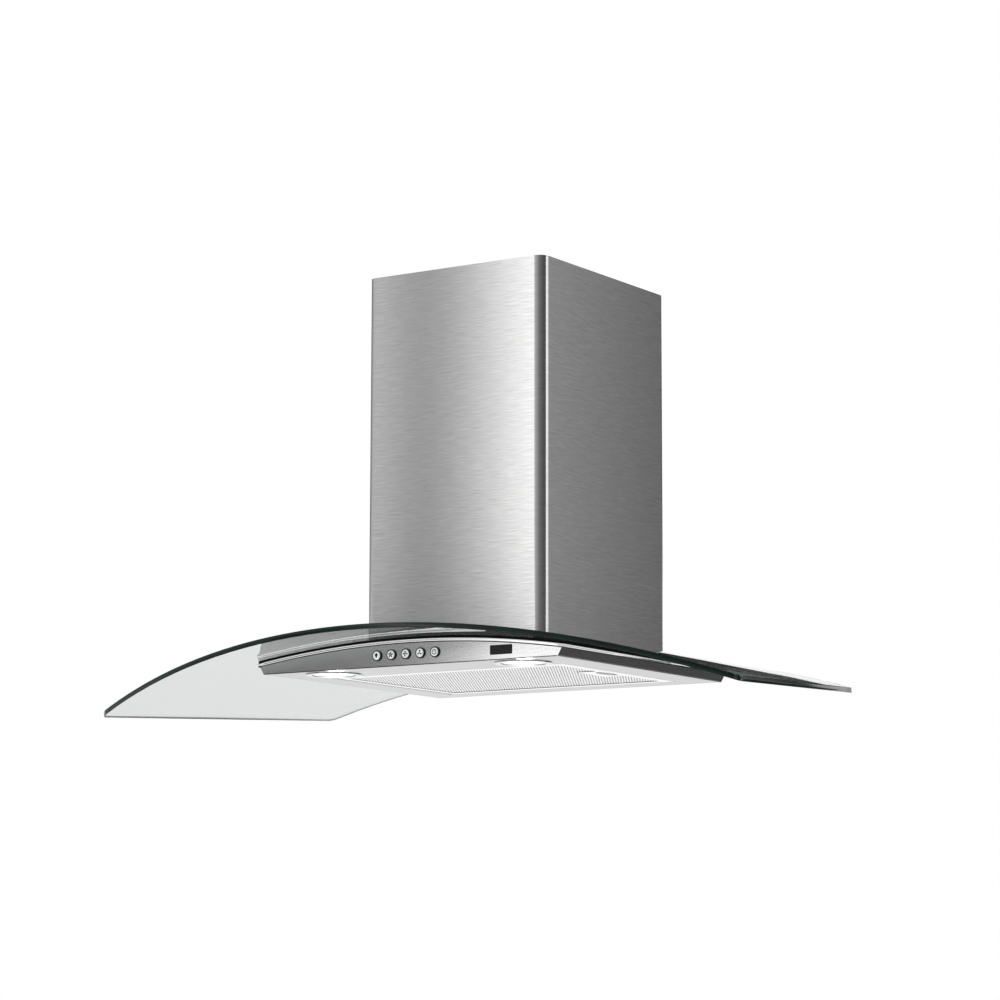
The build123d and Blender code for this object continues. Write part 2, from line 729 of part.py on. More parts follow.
blade_inner_radius = impeller_inner_radius + blade_thickness / 2
blade_outer_radius = impeller_radius - blade_thickness / 2
blade_middle_radius = (blade_inner_radius + blade_outer_radius) / 2
blade_step = 360 / blade_count
half_blade = math.degrees(blade_thickness / 2 / blade_middle_radius)
blade_middle_angle = blade_sweep / 2 - math.degrees(blade_bulge / blade_middle_radius)
with BuildPart() as fan_impeller:
    with BuildSketch(fan_plane.offset(-impeller_half_width)):
        with BuildLine():
            leading = ThreePointArc(
                polar(blade_inner_radius, -half_blade),
                polar(blade_middle_radius, blade_middle_angle - half_blade),
                polar(blade_outer_radius, blade_sweep - half_blade),
            )
            trailing = ThreePointArc(
                polar(blade_inner_radius, half_blade),
                polar(blade_middle_radius, blade_middle_angle + half_blade),
                polar(blade_outer_radius, blade_sweep + half_blade),
            )
            Line(leading @ 0, trailing @ 0)
            Line(leading @ 1, trailing @ 1)
        blade = make_face()
        with PolarLocations(0, blade_count - 1, start_angle=blade_step, angular_range=360 - blade_step):
            add(blade)
    extrude(amount=2 * impeller_half_width)
    for x in (-impeller_half_width, impeller_half_width - impeller_ring):
        with BuildSketch(fan_plane.offset(x)):
            Circle(impeller_radius)
            Circle(impeller_inner_radius, mode=Mode.SUBTRACT)
        extrude(amount=impeller_ring)
    with BuildSketch(fan_plane.offset(-impeller_ring / 2)):
        Circle(impeller_radius)
    extrude(amount=impeller_ring)
    with BuildSketch(fan_plane.offset(-impeller_ring / 2)):
        Circle(hub_radius)
    extrude(amount=hub_length)
    with BuildSketch(fan_plane.offset(-impeller_half_width)):
        Circle(shaft_radius)
    extrude(amount=2 * impeller_half_width, mode=Mode.SUBTRACT)
fan_impeller.part.label = "fan_impeller"
export_step(fan_impeller.part, "parts/fan_impeller.step")

# ---- Motor inside the drum, its shaft and the three-armed mount
motor_front_x = -motor_gap
motor_back_x = motor_front_x - motor_length
with BuildPart() as fan_motor:
    with BuildSketch(fan_plane.offset(motor_back_x)):
        Circle(motor_radius)
    extrude(amount=motor_length)
    ends = fan_motor.edges().filter_by(GeomType.CIRCLE)
    chamfer(ends, length=motor_radius / 12)
    with BuildSketch(fan_plane.offset(motor_back_x)):
        Circle(shaft_radius + guide_clearance)
    extrude(amount=motor_length, mode=Mode.SUBTRACT)
fan_motor.part.label = "fan_motor"
export_step(fan_motor.part, "parts/fan_motor.step")

with BuildPart() as motor_shaft:
    with BuildSketch(fan_plane.offset(motor_back_x - shaft_overhang)):
        Circle(shaft_radius)
    extrude(amount=hub_length - impeller_ring / 2 - motor_back_x + shaft_overhang)
motor_shaft.part.label = "motor_shaft"
export_step(motor_shaft.part, "parts/motor_shaft.step")

ring_face_x = -(scroll_half_width + scroll_sheet)
mount_outer_radius = inlet_radius + inlet_flange
mount_ring_radius = motor_radius + mount_ring_wall
mount_back_x = ring_face_x - mount_thickness
with BuildPart() as motor_mount:
    with BuildSketch(fan_plane.offset(mount_back_x)):
        Circle(mount_ring_radius)
        with PolarLocations(0, 3, start_angle=90):
            Rectangle(mount_outer_radius, mount_arm_width, align=(Align.MIN, Align.CENTER))
        Circle(motor_radius, mode=Mode.SUBTRACT)
    extrude(amount=mount_thickness)
motor_mount.part.label = "motor_mount"
export_step(motor_mount.part, "parts/motor_mount.step")

# ---- Cabinet top with the outlet hole and the cable hole
collar_axis = Plane((0, outlet_y, level(box_height + top_thickness)))
collar_bore = collar_radius - collar_wall
with BuildPart() as box_top:
    with BuildSketch(plan_plane(box_height)):
        with Locations((0, -box_middle_out)):
            Rectangle(box_width, box_depth)
        with Locations((0, outlet_y)):
            Circle(collar_bore, mode=Mode.SUBTRACT)
        with Locations((gland_x, -gland_out)):
            Circle(gland_radius, mode=Mode.SUBTRACT)
    extrude(amount=top_thickness)
box_top.part.label = "box_top"
export_step(box_top.part, "parts/box_top.step")

# ---- Outlet collar for the duct, with the lip that the damper flaps close on
flap_bottom = damper_height - flap_thickness / 2
with BuildPart() as outlet_collar:
    with BuildSketch(collar_axis):
        Circle(collar_radius + collar_flange)
    extrude(amount=collar_flange_thickness)
    with BuildSketch(collar_axis):
        Circle(collar_radius)
    extrude(amount=collar_height)
    with BuildSketch(collar_axis):
        Circle(collar_bore)
    extrude(amount=collar_height, mode=Mode.SUBTRACT)
    with BuildSketch(collar_axis.offset(flap_bottom - flap_seat_gap - damper_lip_thickness)):
        Circle(collar_bore)
        Circle(collar_bore - damper_lip, mode=Mode.SUBTRACT)
    extrude(amount=damper_lip_thickness)
    with BuildSketch(Plane.YZ.offset(-collar_radius)):
        with Locations((outlet_y, level(box_height + top_thickness + damper_height))):
            Circle(damper_pin_radius)
    extrude(amount=2 * collar_radius, mode=Mode.SUBTRACT)
outlet_collar.part.label = "outlet_collar"
export_step(outlet_collar.part, "parts/outlet_collar.step")

# ---- Damper pin across the collar, and two half-round flaps with interleaved knuckles
pin_z = level(box_height + top_thickness + damper_height)
pin_plane = Plane((0, outlet_y, pin_z), x_dir=(0, 1, 0), z_dir=(1, 0, 0))
with BuildPart() as damper_pin:
    with BuildSketch(pin_plane.offset(-collar_radius)):
        Circle(damper_pin_radius)
    extrude(amount=2 * collar_radius)
damper_pin.part.label = "damper_pin"
export_step(damper_pin.part, "parts/damper_pin.step")

flap_radius = collar_bore - flap_clearance
knuckle_step = knuckle_length + knuckle_gap
for name, side, first_knuckle in (("rear", 1, -2), ("front", -1, -1)):
    with BuildPart() as flap:
        with BuildSketch(collar_axis.offset(flap_bottom)):
            Circle(flap_radius)
            with Locations((0, -side * (collar_radius - flap_inner_gap))):
                Rectangle(2 * collar_radius, 2 * collar_radius, mode=Mode.SUBTRACT)
        extrude(amount=flap_thickness)
        for step in (first_knuckle, first_knuckle + 2):
            knuckle_x = (step + 0.5) * knuckle_step
            with BuildSketch(collar_axis.offset(flap_bottom)):
                with Locations((knuckle_x, side * flap_inner_gap)):
                    Rectangle(knuckle_length, 2 * flap_inner_gap)
            extrude(amount=flap_thickness)
            with BuildSketch(pin_plane.offset(knuckle_x - knuckle_length / 2)):
                Circle(knuckle_radius)
            extrude(amount=knuckle_length)
        with BuildSketch(pin_plane.offset(-collar_radius)):
            Circle(damper_pin_radius + guide_clearance)
        extrude(amount=2 * collar_radius, mode=Mode.SUBTRACT)
    flap.part.label = "damper_flap_" + name
    export_step(flap.part, "parts/damper_flap_" + name + ".step")

# ---- Control box on the cabinet's right wall, and the cable gland in the cabinet's top
control_width, control_depth, control_height = control_box_size
with BuildPart() as control_box:
    with BuildSketch(plan_plane(control_box_height)):
        with Locations((box_width / 2 - sheet, -(box_front_out - sheet))):
            Rectangle(control_width, control_depth, align=(Align.MAX, Align.MIN))
    extrude(amount=control_height)
    chamfer(control_box.faces().sort_by(Axis.X)[0].edges(), length=control_width / 16)
control_box.part.label = "control_box"
export_step(control_box.part, "parts/control_box.step")

gland_axis = Plane((gland_x, -gland_out, level(box_height + top_thickness)))
with BuildPart() as cable_gland:
    with BuildSketch(gland_axis):
        Circle(gland_radius)
    extrude(amount=gland_height / 2, both=True)
    with BuildSketch(gland_axis):
        RegularPolygon(radius=gland_flange_radius, side_count=6)
    extrude(amount=gland_height / 4)
    with BuildSketch(gland_axis.offset(-gland_height / 2)):
        Circle(gland_bore_radius)
    extrude(amount=gland_height, mode=Mode.SUBTRACT)
cable_gland.part.label = "cable_gland"
export_step(cable_gland.part, "parts/cable_gland.step")

# ---- Chimney cover: rounded tube of sheet with a gap along the wall, cut to the glass
return_flat = chimney_return - chimney_corner_radius
cover_screw_spacing = chimney_width - 2 * chimney_corner_radius - return_flat
with BuildPart() as chimney_cover:
    with BuildSketch(plan_plane(0)):
        with Locations((0, -chimney_depth / 2)):
            RectangleRounded(chimney_width, chimney_depth, chimney_corner_radius)
            RectangleRounded(
                chimney_width - 2 * chimney_sheet,
                chimney_depth - 2 * chimney_sheet,
                chimney_corner_radius - chimney_sheet,
                mode=Mode.SUBTRACT,
            )
        Rectangle(chimney_width - 2 * chimney_return, 4 * chimney_sheet, mode=Mode.SUBTRACT)
    extrude(amount=chimney_top_height)
    extrude(arch_disc(glass_top_radius + chimney_glass_gap), amount=glass_depth, mode=Mode.SUBTRACT)
    with BuildSketch(Plane.XZ):
        with Locations((0, level(chimney_bracket_height))):
            with GridLocations(cover_screw_spacing, 1, 2, 1):
                Circle(cover_screw_radius + screw_clearance)
    extrude(amount=2 * chimney_sheet, mode=Mode.SUBTRACT)
chimney_cover.part.label = "chimney_cover"
export_step(chimney_cover.part, "parts/chimney_cover.step")

# ---- Upper wall bracket that holds the cover by its returns, and the two cover screws
bracket_middle = chimney_width - 2 * chimney_return - 2 * chimney_bracket_sheet
with BuildPart() as chimney_bracket:
    with BuildSketch(Plane.XZ):
        with Locations((0, level(chimney_bracket_height))):
            Rectangle(bracket_middle, chimney_bracket_width)
    extrude(amount=chimney_sheet + chimney_bracket_sheet)
    with BuildSketch(Plane.XZ.offset(chimney_sheet)):
        with Locations((0, level(chimney_bracket_height))):
            Rectangle(chimney_width - 2 * chimney_corner_radius, chimney_bracket_width)
    extrude(amount=chimney_bracket_sheet)
    with BuildSketch(Plane.XZ.offset(chimney_bracket_sheet)):
        with Locations((0, level(chimney_bracket_height))):
            Rectangle(bracket_middle - 4 * chimney_bracket_sheet, chimney_bracket_width)
    extrude(amount=2 * chimney_bracket_sheet, mode=Mode.SUBTRACT)
    with BuildSketch(Plane.XZ):
        with Locations((0, level(chimney_bracket_height))):
            with GridLocations(chimney_bracket_hole_spacing, 1, 2, 1):
                Circle(chimney_bracket_hole_radius)
            with GridLocations(cover_screw_spacing, 1, 2, 1):
                Circle(cover_screw_radius + screw_clearance)
    extrude(amount=3 * chimney_bracket_sheet, mode=Mode.SUBTRACT)
chimney_bracket.part.label = "chimney_bracket"
export_step(chimney_bracket.part, "parts/chimney_bracket.step")

with BuildPart() as chimney_screws:
    with BuildSketch(Plane.XZ):
        with Locations((0, level(chimney_bracket_height))):
            with GridLocations(cover_screw_spacing, 1, 2, 1):
                Circle(cover_screw_radius)
    extrude(amount=chimney_sheet + chimney_bracket_sheet)
    with BuildSketch(Plane.XZ.offset(chimney_sheet + chimney_bracket_sheet)):
        with Locations((0, level(chimney_bracket_height))):
            with GridLocations(cover_screw_spacing, 1, 2, 1):
                Circle(cover_screw_head_radius)
    extrude(amount=cover_screw_head_height)
chimney_screws.part.label = "chimney_screws"
export_step(chimney_screws.part, "parts/chimney_screws.step")
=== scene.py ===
# %% [markdown]
# # Curved glass range hood
# The imported model holds every rigid piece at its real size, in metres, with the origin in the
# middle of the wall screws. This script gives those pieces their finishes and adds what is too
# fine for the solids: the polished bead and the black sealant lines, whose black is painted shade
# of the joints, the edge of the glass, the perforated sheet of the filter, the rims and marks of
# the buttons, a blank plate and the small screws. Nothing of the imported model is moved.

# %% Load the imported model and note its box
import math

import bmesh
import bpy
from mathutils import Matrix, Vector


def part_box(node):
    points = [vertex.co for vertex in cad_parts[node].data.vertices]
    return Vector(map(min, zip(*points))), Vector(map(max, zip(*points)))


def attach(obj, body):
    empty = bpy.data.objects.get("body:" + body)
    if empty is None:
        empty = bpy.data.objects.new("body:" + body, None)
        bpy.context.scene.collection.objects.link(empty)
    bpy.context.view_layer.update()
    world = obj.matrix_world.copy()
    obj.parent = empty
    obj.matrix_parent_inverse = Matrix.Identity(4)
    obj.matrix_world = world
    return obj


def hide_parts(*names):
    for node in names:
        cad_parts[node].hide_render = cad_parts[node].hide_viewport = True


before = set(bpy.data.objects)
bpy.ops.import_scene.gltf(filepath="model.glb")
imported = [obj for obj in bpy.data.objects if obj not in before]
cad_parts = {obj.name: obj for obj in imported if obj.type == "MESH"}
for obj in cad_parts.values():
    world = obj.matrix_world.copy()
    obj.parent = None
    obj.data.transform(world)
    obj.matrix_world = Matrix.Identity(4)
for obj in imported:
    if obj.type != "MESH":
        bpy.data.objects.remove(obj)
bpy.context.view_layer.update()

# %% [markdown]
# ## Small helpers
# Colours are written as the sRGB hex values that a colour picker shows, and Blender's sockets
# want linear numbers, so one function turns one into the other. Another adds any shader or
# geometry node with its settings, values and links, which keeps the trees below short. The
# others start an empty node tree, put an object into the scene, and give a point on a circle.

# %% Helpers for colours, nodes, objects and angles
MM = 0.001


def linear(hex_colour):
    """Linear RGBA of an sRGB hex colour such as #c8c9ca."""
    channels = [int(hex_colour[i:i + 2], 16) / 255 for i in (1, 3, 5)]
    curve = [c / 12.92 if c <= 0.04045 else ((c + 0.055) / 1.055) ** 2.4 for c in channels]
    return (*curve, 1.0)


def fill(tree, node, inputs):
    """Fills or links inputs by name or number. A node given here stands for its first output."""
    for key, value in inputs.items():
        if isinstance(value, bpy.types.Node):
            value = value.outputs[0]
        if isinstance(value, bpy.types.NodeSocket):
            tree.links.new(value, node.inputs[key])
        else:
            node.inputs[key].default_value = value


def add_node(tree, kind, inputs={}, **settings):
    """Adds one node, sets its properties, and fills or links its inputs."""
    made = tree.nodes.new(kind)
    for name, value in settings.items():
        setattr(made, name, value)
    fill(tree, made, inputs)
    return made


def empty_tree(owner):
    """Empty node tree of a material or of the world."""
    owner.use_nodes = True
    owner.node_tree.nodes.clear()
    return owner.node_tree


def put(name, data):
    """New object in the scene."""
    made = bpy.data.objects.new(name, data)
    bpy.context.scene.collection.objects.link(made)
    return made


def around(degrees):
    """Cosine and sine of an angle."""
    return math.cos(math.radians(degrees)), math.sin(math.radians(degrees))


# %% [markdown]
# ## Camera
# The hood was photographed from its right and from a little below the glass, with a long lens.
# The place and the turn of the camera were worked out from the corners of the cover, the front
# of the body and the two lamps, so the render frames the hood as the photograph does.

# %% Camera
bpy.context.scene.view_settings.view_transform = "Standard"
frame_px = 1000
focal_px = 3213
sensor_mm = 36.0
camera_data = bpy.data.cameras.new("camera")
camera_data.sensor_width = sensor_mm
camera_data.lens = focal_px / frame_px * sensor_mm
camera = put("camera", camera_data)
bpy.context.scene.camera = camera

camera_place = Vector((2.137, -3.426, -0.540))
camera_turn, camera_rise, camera_roll = (math.radians(turn) for turn in (33.38, 8.635, 0.135))
camera.matrix_world = (
    Matrix.Translation(camera_place)
    @ Matrix.Rotation(camera_turn, 4, "Z")
    @ Matrix.Rotation(math.radians(90) + camera_rise, 4, "X")
    @ Matrix.Rotation(camera_roll, 4, "Z")
)
print("camera", round(camera_data.lens, 1), "mm lens at", tuple(camera_place))

# %% [markdown]
# ## Studio
# The hood hangs in a white studio, over a pale floor that fades into the backdrop. The world is
# white to the camera, in reflections and through the glass, and dimmer as a lamp, so that pale
# steel keeps its tone. The floor does the same, and is clear from below, so that it hides
# nothing in a view from under it.
#
# Brushed and polished metal is only as good as what it mirrors. So upright cards stand where the
# front, the sides, the rounded corners and the back look, and show in reflections only. Each has
# a brightness at every plan point, and one tone runs into the next. They are split by height,
# because the cover and the fascia below it mirror different levels.

# %% World
world = bpy.data.worlds.new("studio")
bpy.context.scene.world = world
tree = empty_tree(world)
lamp_strength = 0.62
ray = add_node(tree, "ShaderNodeLightPath")
seen = ray.outputs["Is Camera Ray"]
for kind in ("Is Glossy Ray", "Is Transmission Ray"):
    seen = add_node(tree, "ShaderNodeMath", {0: seen, 1: ray.outputs[kind]}, operation="MAXIMUM")
strength = add_node(
    tree, "ShaderNodeMapRange", {"Value": seen, "To Min": lamp_strength, "To Max": 1.0}
)
backdrop = add_node(
    tree, "ShaderNodeBackground", {"Color": linear("#ffffff"), "Strength": strength}
)
add_node(tree, "ShaderNodeOutputWorld", {"Surface": backdrop})
print("world as a lamp", lamp_strength)

# %% Floor, low enough to meet the backdrop
floor_height = -1.67
floor_size = 14.0
clear_radius = 1.2
fade_radius = 5.0
floor_material = bpy.data.materials.new("painted_floor")
tree = empty_tree(floor_material)
place = add_node(tree, "ShaderNodeTexCoord").outputs["Object"]
spread = add_node(tree, "ShaderNodeVectorMath", {0: place}, operation="LENGTH")
fade = add_node(
    tree, "ShaderNodeMapRange",
    {"Value": spread.outputs["Value"], "From Min": clear_radius, "From Max": fade_radius},
    interpolation_type="SMOOTHSTEP",
)
ray = add_node(tree, "ShaderNodeLightPath")
white = fade
for kind in ("Is Glossy Ray", "Is Transmission Ray"):
    white = add_node(tree, "ShaderNodeMath", {0: white, 1: ray.outputs[kind]}, operation="MAXIMUM")
paint = add_node(tree, "ShaderNodeBsdfDiffuse", {"Color": linear("#f4f4f4")})
glow = add_node(tree, "ShaderNodeEmission", {"Color": linear("#ffffff"), "Strength": 1.0})
above = add_node(tree, "ShaderNodeMixShader", {0: white, 1: paint, 2: glow})
side = add_node(tree, "ShaderNodeNewGeometry")
clear = add_node(tree, "ShaderNodeBsdfTransparent")
shown = add_node(tree, "ShaderNodeMixShader", {0: side.outputs["Backfacing"], 1: above, 2: clear})
add_node(tree, "ShaderNodeOutputMaterial", {"Surface": shown})

reach = floor_size / 2
corners = [(x * reach, y * reach) for x, y in ((-1, -1), (1, -1), (1, 1), (-1, 1))]
floor_mesh = bpy.data.meshes.new("floor")
floor_mesh.from_pydata([(x, y, floor_height) for x, y in corners], [], [(0, 1, 2, 3)])
floor_mesh.materials.append(floor_material)
put("floor", floor_mesh)
print("floor", floor_size, "m wide,", -floor_height, "m under the wall screws")


# %% A function that stands up a card
def card(name, stops, low, high):
    """Upright card through plan points (x, y, brightness), from a low to a high level."""
    mesh = bpy.data.meshes.new(name)
    points = [(x, y, z) for x, y, brightness in stops for z in (low, high)]
    faces = [(2 * i, 2 * i + 2, 2 * i + 3, 2 * i + 1) for i in range(len(stops) - 1)]
    mesh.from_pydata(points, [], faces)
    shade = mesh.color_attributes.new("brightness", "FLOAT_COLOR", "POINT")
    for i, (x, y, brightness) in enumerate(stops):
        for corner in (2 * i, 2 * i + 1):
            shade.data[corner].color = (brightness, brightness, brightness, 1.0)
    material = bpy.data.materials.new(name)
    tree = empty_tree(material)
    painted = add_node(tree, "ShaderNodeAttribute", attribute_name="brightness")
    glow = add_node(tree, "ShaderNodeEmission", {"Color": painted.outputs["Color"]})
    add_node(tree, "ShaderNodeOutputMaterial", {"Surface": glow})
    mesh.materials.append(material)
    made = put(name, mesh)
    for hidden in ("camera", "diffuse", "transmission", "shadow", "volume_scatter"):
        setattr(made, "visible_" + hidden, False)
    print(name, "with", len(stops), "tones")


# %% Cards in front of the hood
card_top = 2.6
split_level = -0.03
card_foot = -0.32
foot_low = -0.62
front_out = -1.1


def front_card(name, stops, low, high):
    """Card that stands parallel to the wall, through (x, brightness)."""
    card(name, [(x, front_out, brightness) for x, brightness in stops], low, high)


front_card("card_front_upper", [
    (-1.7, 0.75), (-0.90, 0.72), (-0.78, 0.86), (-0.69, 0.80), (-0.62, 0.37), (-0.56, 0.60),
    (-0.50, 1.00), (-0.45, 1.44), (-0.40, 1.88), (-0.31, 2.10),
], split_level, card_top)
front_card("card_front_lower", [
    (-1.7, 0.50), (-0.86, 0.50), (-0.79, 0.04), (-0.71, 0.20), (-0.60, 0.21), (-0.50, 0.25),
    (-0.44, 0.36), (-0.39, 0.92), (-0.33, 1.90), (-0.20, 2.40),
], card_foot, split_level)
front_card("card_front_foot", [
    (-1.7, 0.50), (-0.80, 0.45), (-0.70, 0.02), (-0.58, 0.30), (-0.50, 0.80),
], foot_low, card_foot)

# %% Cards at the sides and the back
low_split = -0.2
side_split = -0.1
back_foot = 0.16
left_foot = 0.0
card("card_right", [
    (-0.30, -1.12, 0.75), (0.15, -1.3, 0.44), (0.7, -1.25, 0.21), (1.5, -0.9, 0.11),
    (1.7, 0.1, 0.09),
], low_split, card_top)
card("card_right_low", [
    (-0.30, -1.12, 0.75), (0.15, -1.3, 0.60), (0.7, -1.25, 0.50), (1.5, -0.9, 0.45),
    (1.7, 0.1, 0.45),
], floor_height, low_split)
card("card_gleam", [(1.75, 0.12, 1.55), (0.92, 0.32, 1.55)], side_split, card_top)
card("card_back_right_upper", [
    (0.80, 0.42, 0.60), (0.66, 0.93, 0.20), (0.5, 1.3, 0.10),
], side_split, card_top)
card("card_back_right_lower", [
    (1.6, 0.2, 0.80), (1.12, 0.74, 0.80), (1.02, 0.87, 0.08), (0.25, 1.5, 0.08),
], floor_height, side_split)
card("card_back", [
    (0.45, 1.35, 0.02), (-0.4, 1.7, 0.015), (-1.3, 1.35, 0.015), (-1.9, 0.95, 0.03),
], back_foot, card_top)
card("card_back_low", [
    (-2.1, 0.8, 1.3), (-1.0, 1.55, 1.3), (0.3, 1.9, 1.3),
], foot_low, low_split)
card("card_left", [
    (-1.85, 0.9, 0.05), (-1.95, 0.0, 0.35), (-1.9, -0.35, 0.50), (-1.8, -0.75, 0.60),
    (-1.7, -1.1, 0.65),
], left_foot, card_top)

# %% [markdown]
# ## Soft boxes
# Two large area lamps light the hood softly. One stands high at the front left, as a
# photographer's main light does, and one lies just above the floor to fill the underside. They
# are hidden from the camera, from reflections and through the glass, where a bright square would
# show: the cards do that part of a soft box's work.

# %% Soft boxes
def soft_box(name, place, target, width, power):
    """Square area lamp at a place, facing a target."""
    data = bpy.data.lights.new(name, "AREA")
    data.size, data.energy = width, power
    lamp = put(name, data)
    facing = (Vector(target) - Vector(place)).to_track_quat("-Z", "Y")
    lamp.matrix_world = Matrix.Translation(place) @ facing.to_matrix().to_4x4()
    lamp.visible_camera = lamp.visible_glossy = lamp.visible_transmission = False
    print(name, power, "W")


soft_box("lamp_front_left", (-1.6, -2.2, 1.6), (0.0, -0.2, 0.0), 1.6, 34.0)
soft_box("lamp_below", (0.2, -0.9, -1.6), (0.2, -0.9, 0.0), 1.2, 6.5)

# %% [markdown]
# ## Materials
# Each finish is one Principled shader, fed by patterns that are sized in millimetres on the
# object itself. One helper starts a material, one feeds it from its pattern, and one gives it to
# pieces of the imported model.

# %% Helpers for materials
def new_material(name, inputs):
    """Empty node material with one Principled shader: returns material, tree and shader."""
    material = bpy.data.materials.new(name)
    tree = empty_tree(material)
    shader = add_node(tree, "ShaderNodeBsdfPrincipled", inputs)
    add_node(tree, "ShaderNodeOutputMaterial", {"Surface": shader})
    return material, tree, shader


def finish_shader(tree, shader, pattern, tones, roughnesses, height, strength, depth):
    """Lets a pattern vary colour and roughness between two values, and a height the relief."""
    # Inputs 6 and 7 of a Mix node are its two colours, and output 2 is the mixed one.
    colour = add_node(
        tree, "ShaderNodeMix", {0: pattern, 6: tones[0], 7: tones[1]}, data_type="RGBA"
    )
    rough = add_node(
        tree, "ShaderNodeMapRange",
        {"Value": pattern, "To Min": roughnesses[0], "To Max": roughnesses[1]},
    )
    relief = add_node(
        tree, "ShaderNodeBump", {"Height": height, "Strength": strength, "Distance": depth}
    )
    fill(tree, shader, {"Base Color": colour.outputs[2], "Roughness": rough, "Normal": relief})


def dress(material, *nodes):
    """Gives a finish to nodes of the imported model."""
    for name in nodes:
        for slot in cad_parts[name].material_slots:
            slot.material = material
    print(material.name, "on", ", ".join(nodes))


# %% [markdown]
# ## Brushed stainless steel
# The cover, the fascia and the roof of the body are 430 stainless, brushed with a belt of about
# 180 grit along the width. Its fine parallel scratches let the metal mirror sharply along them
# and smear light across them: that is anisotropy, with the tangent laid along the scratches.
# They could be a picture of brushed steel, but a noise that is drawn out along the width, forty
# times as long as it is high, never repeats. Real ones are about 0.1 mm apart, too fine to show,
# so they are drawn 0.6 mm apart. The fascia has shallower ones, of a finer belt. The underside
# lies flat, so its tangent is another one.

# %% Brushed stainless steel
brush_pitch = 0.6 * MM
brush_length = 24 * MM
scratch_relief = 0.12
scratch_spread = 0.03
quarter_turn = 0.25


def brushed_metal(name, dark, pale, across, tangent_from, roughness, anisotropy,
                  scratch_depth=0.006 * MM):
    """Metal brushed along the width. across names the axes on which scratches lie apart."""
    material, tree, shader = new_material(name, {
        "Metallic": 1.0, "Anisotropic": anisotropy, "Anisotropic Rotation": quarter_turn,
    })
    place = add_node(tree, "ShaderNodeTexCoord").outputs["Object"]
    scale = [1 / brush_pitch if axis in across else 1 / brush_length for axis in "XYZ"]
    stretch = add_node(tree, "ShaderNodeMapping", {"Vector": place, "Scale": scale})
    streaks = add_node(
        tree, "ShaderNodeTexNoise",
        {"Vector": stretch, "Scale": 1.0, "Detail": 3.0, "Roughness": 0.65},
    )
    finish_shader(
        tree, shader, streaks, (linear(dark), linear(pale)),
        (roughness + scratch_spread, roughness - scratch_spread),
        streaks, scratch_relief, scratch_depth,
    )
    surface = add_node(tree, "ShaderNodeNewGeometry")
    along = add_node(
        tree, "ShaderNodeVectorMath", {0: tangent_from, 1: surface.outputs["Normal"]},
        operation="CROSS_PRODUCT",
    )
    fill(tree, shader, {"Tangent": along})
    return material


upward = (0, 0, 1)
rearward = (0, 1, 0)
dress(brushed_metal("stainless_430_brushed_upright", "#9fa0a0", "#e9e9e8", "Z", upward,
                    roughness=0.2, anisotropy=0.85), "chimney_cover", "canopy_shell")
dress(brushed_metal("stainless_430_brushed_fine", "#b2b3b3", "#d9d9d8", "Z", upward,
                    roughness=0.2, anisotropy=0.85, scratch_depth=0.003 * MM), "fascia")
dress(brushed_metal("stainless_430_brushed_flat", "#aeafaf", "#d3d3d2", "YZ", rearward,
                    roughness=0.34, anisotropy=0.5), "underside_plate")

# %% [markdown]
# ## Polished steel and chrome
# The strip under the seal is buffed to a mirror, the rings of the lamps are chrome plated, and
# the button caps are ABS with a satin metal coat. One number for the roughness would make a
# perfect mirror, but a real one shows every small wave of the metal, so a weak, wide noise bends
# the reflections, and a finer one varies tone and roughness as wiping marks do.

# %% Polished strip, lamp rings and button caps
wiped_gain = 1.12
wiped_spread = 0.3
wave_relief = 0.3
marks_per_wave = 6


def polished_metal(name, colour, roughness, wave_size, wave_depth, metallic=1.0):
    """Buffed or plated metal with faint waves and wiping marks."""
    material, tree, shader = new_material(name, {"Metallic": metallic})
    place = add_node(tree, "ShaderNodeTexCoord").outputs["Object"]
    waves, marks = (
        add_node(tree, "ShaderNodeTexNoise", {"Vector": place, "Scale": scale, "Detail": detail})
        for scale, detail in ((1 / wave_size, 1.0), (marks_per_wave / wave_size, 4.0))
    )
    wiped = [wiped_gain * channel for channel in linear(colour)[:3]] + [1.0]
    finish_shader(
        tree, shader, marks, (linear(colour), wiped),
        (roughness * (1 - wiped_spread), roughness * (1 + wiped_spread)),
        waves, wave_relief, wave_depth,
    )
    return material


trim_metal = polished_metal("stainless_304_mirror_polished", "#eeeeee", 0.08, 20 * MM, 0.02 * MM)
dress(polished_metal("steel_chrome_plated", "#8f9193", 0.16, 12 * MM, 0.01 * MM),
      "lamp_ring_left", "lamp_ring_right")
button_names = ["lamp", "speed_1", "speed_2", "speed_3", "timer"]
dress(polished_metal("abs_satin_metallised", "#f8f8f8", 0.45, 4 * MM, 0.01 * MM, metallic=0.1),
      *["button_" + name for name in button_names])

# %% [markdown]
# ## Tempered float glass
# The canopy is 6 mm clear float glass, bent and tempered. Seen through its faces it takes a
# little light, and seen along the sheet it goes dark green, because the light has crossed
# hundreds of millimetres of it. A tint on the surface could give only one of the two, and a
# volume that absorbs a little more red than green gives both. Light that only casts a shadow
# passes straight through with a slight tint, as glass lets it.

# %% Clear glass
glass_density = 88.0
glass_material, tree, shader = new_material("float_glass_tempered", {
    "Base Color": (1, 1, 1, 1), "Roughness": 0.0, "IOR": 1.52, "Transmission Weight": 1.0,
})
ray = add_node(tree, "ShaderNodeLightPath")
pass_through = add_node(tree, "ShaderNodeBsdfTransparent", {"Color": linear("#e4ece9")})
surface = add_node(
    tree, "ShaderNodeMixShader", {0: ray.outputs["Is Shadow Ray"], 1: shader, 2: pass_through}
)
depth = add_node(
    tree, "ShaderNodeVolumeAbsorption", {"Color": linear("#bec3c1"), "Density": glass_density}
)
fill(tree, tree.nodes["Material Output"], {"Surface": surface, "Volume": depth})
dress(glass_material, "glass_canopy")

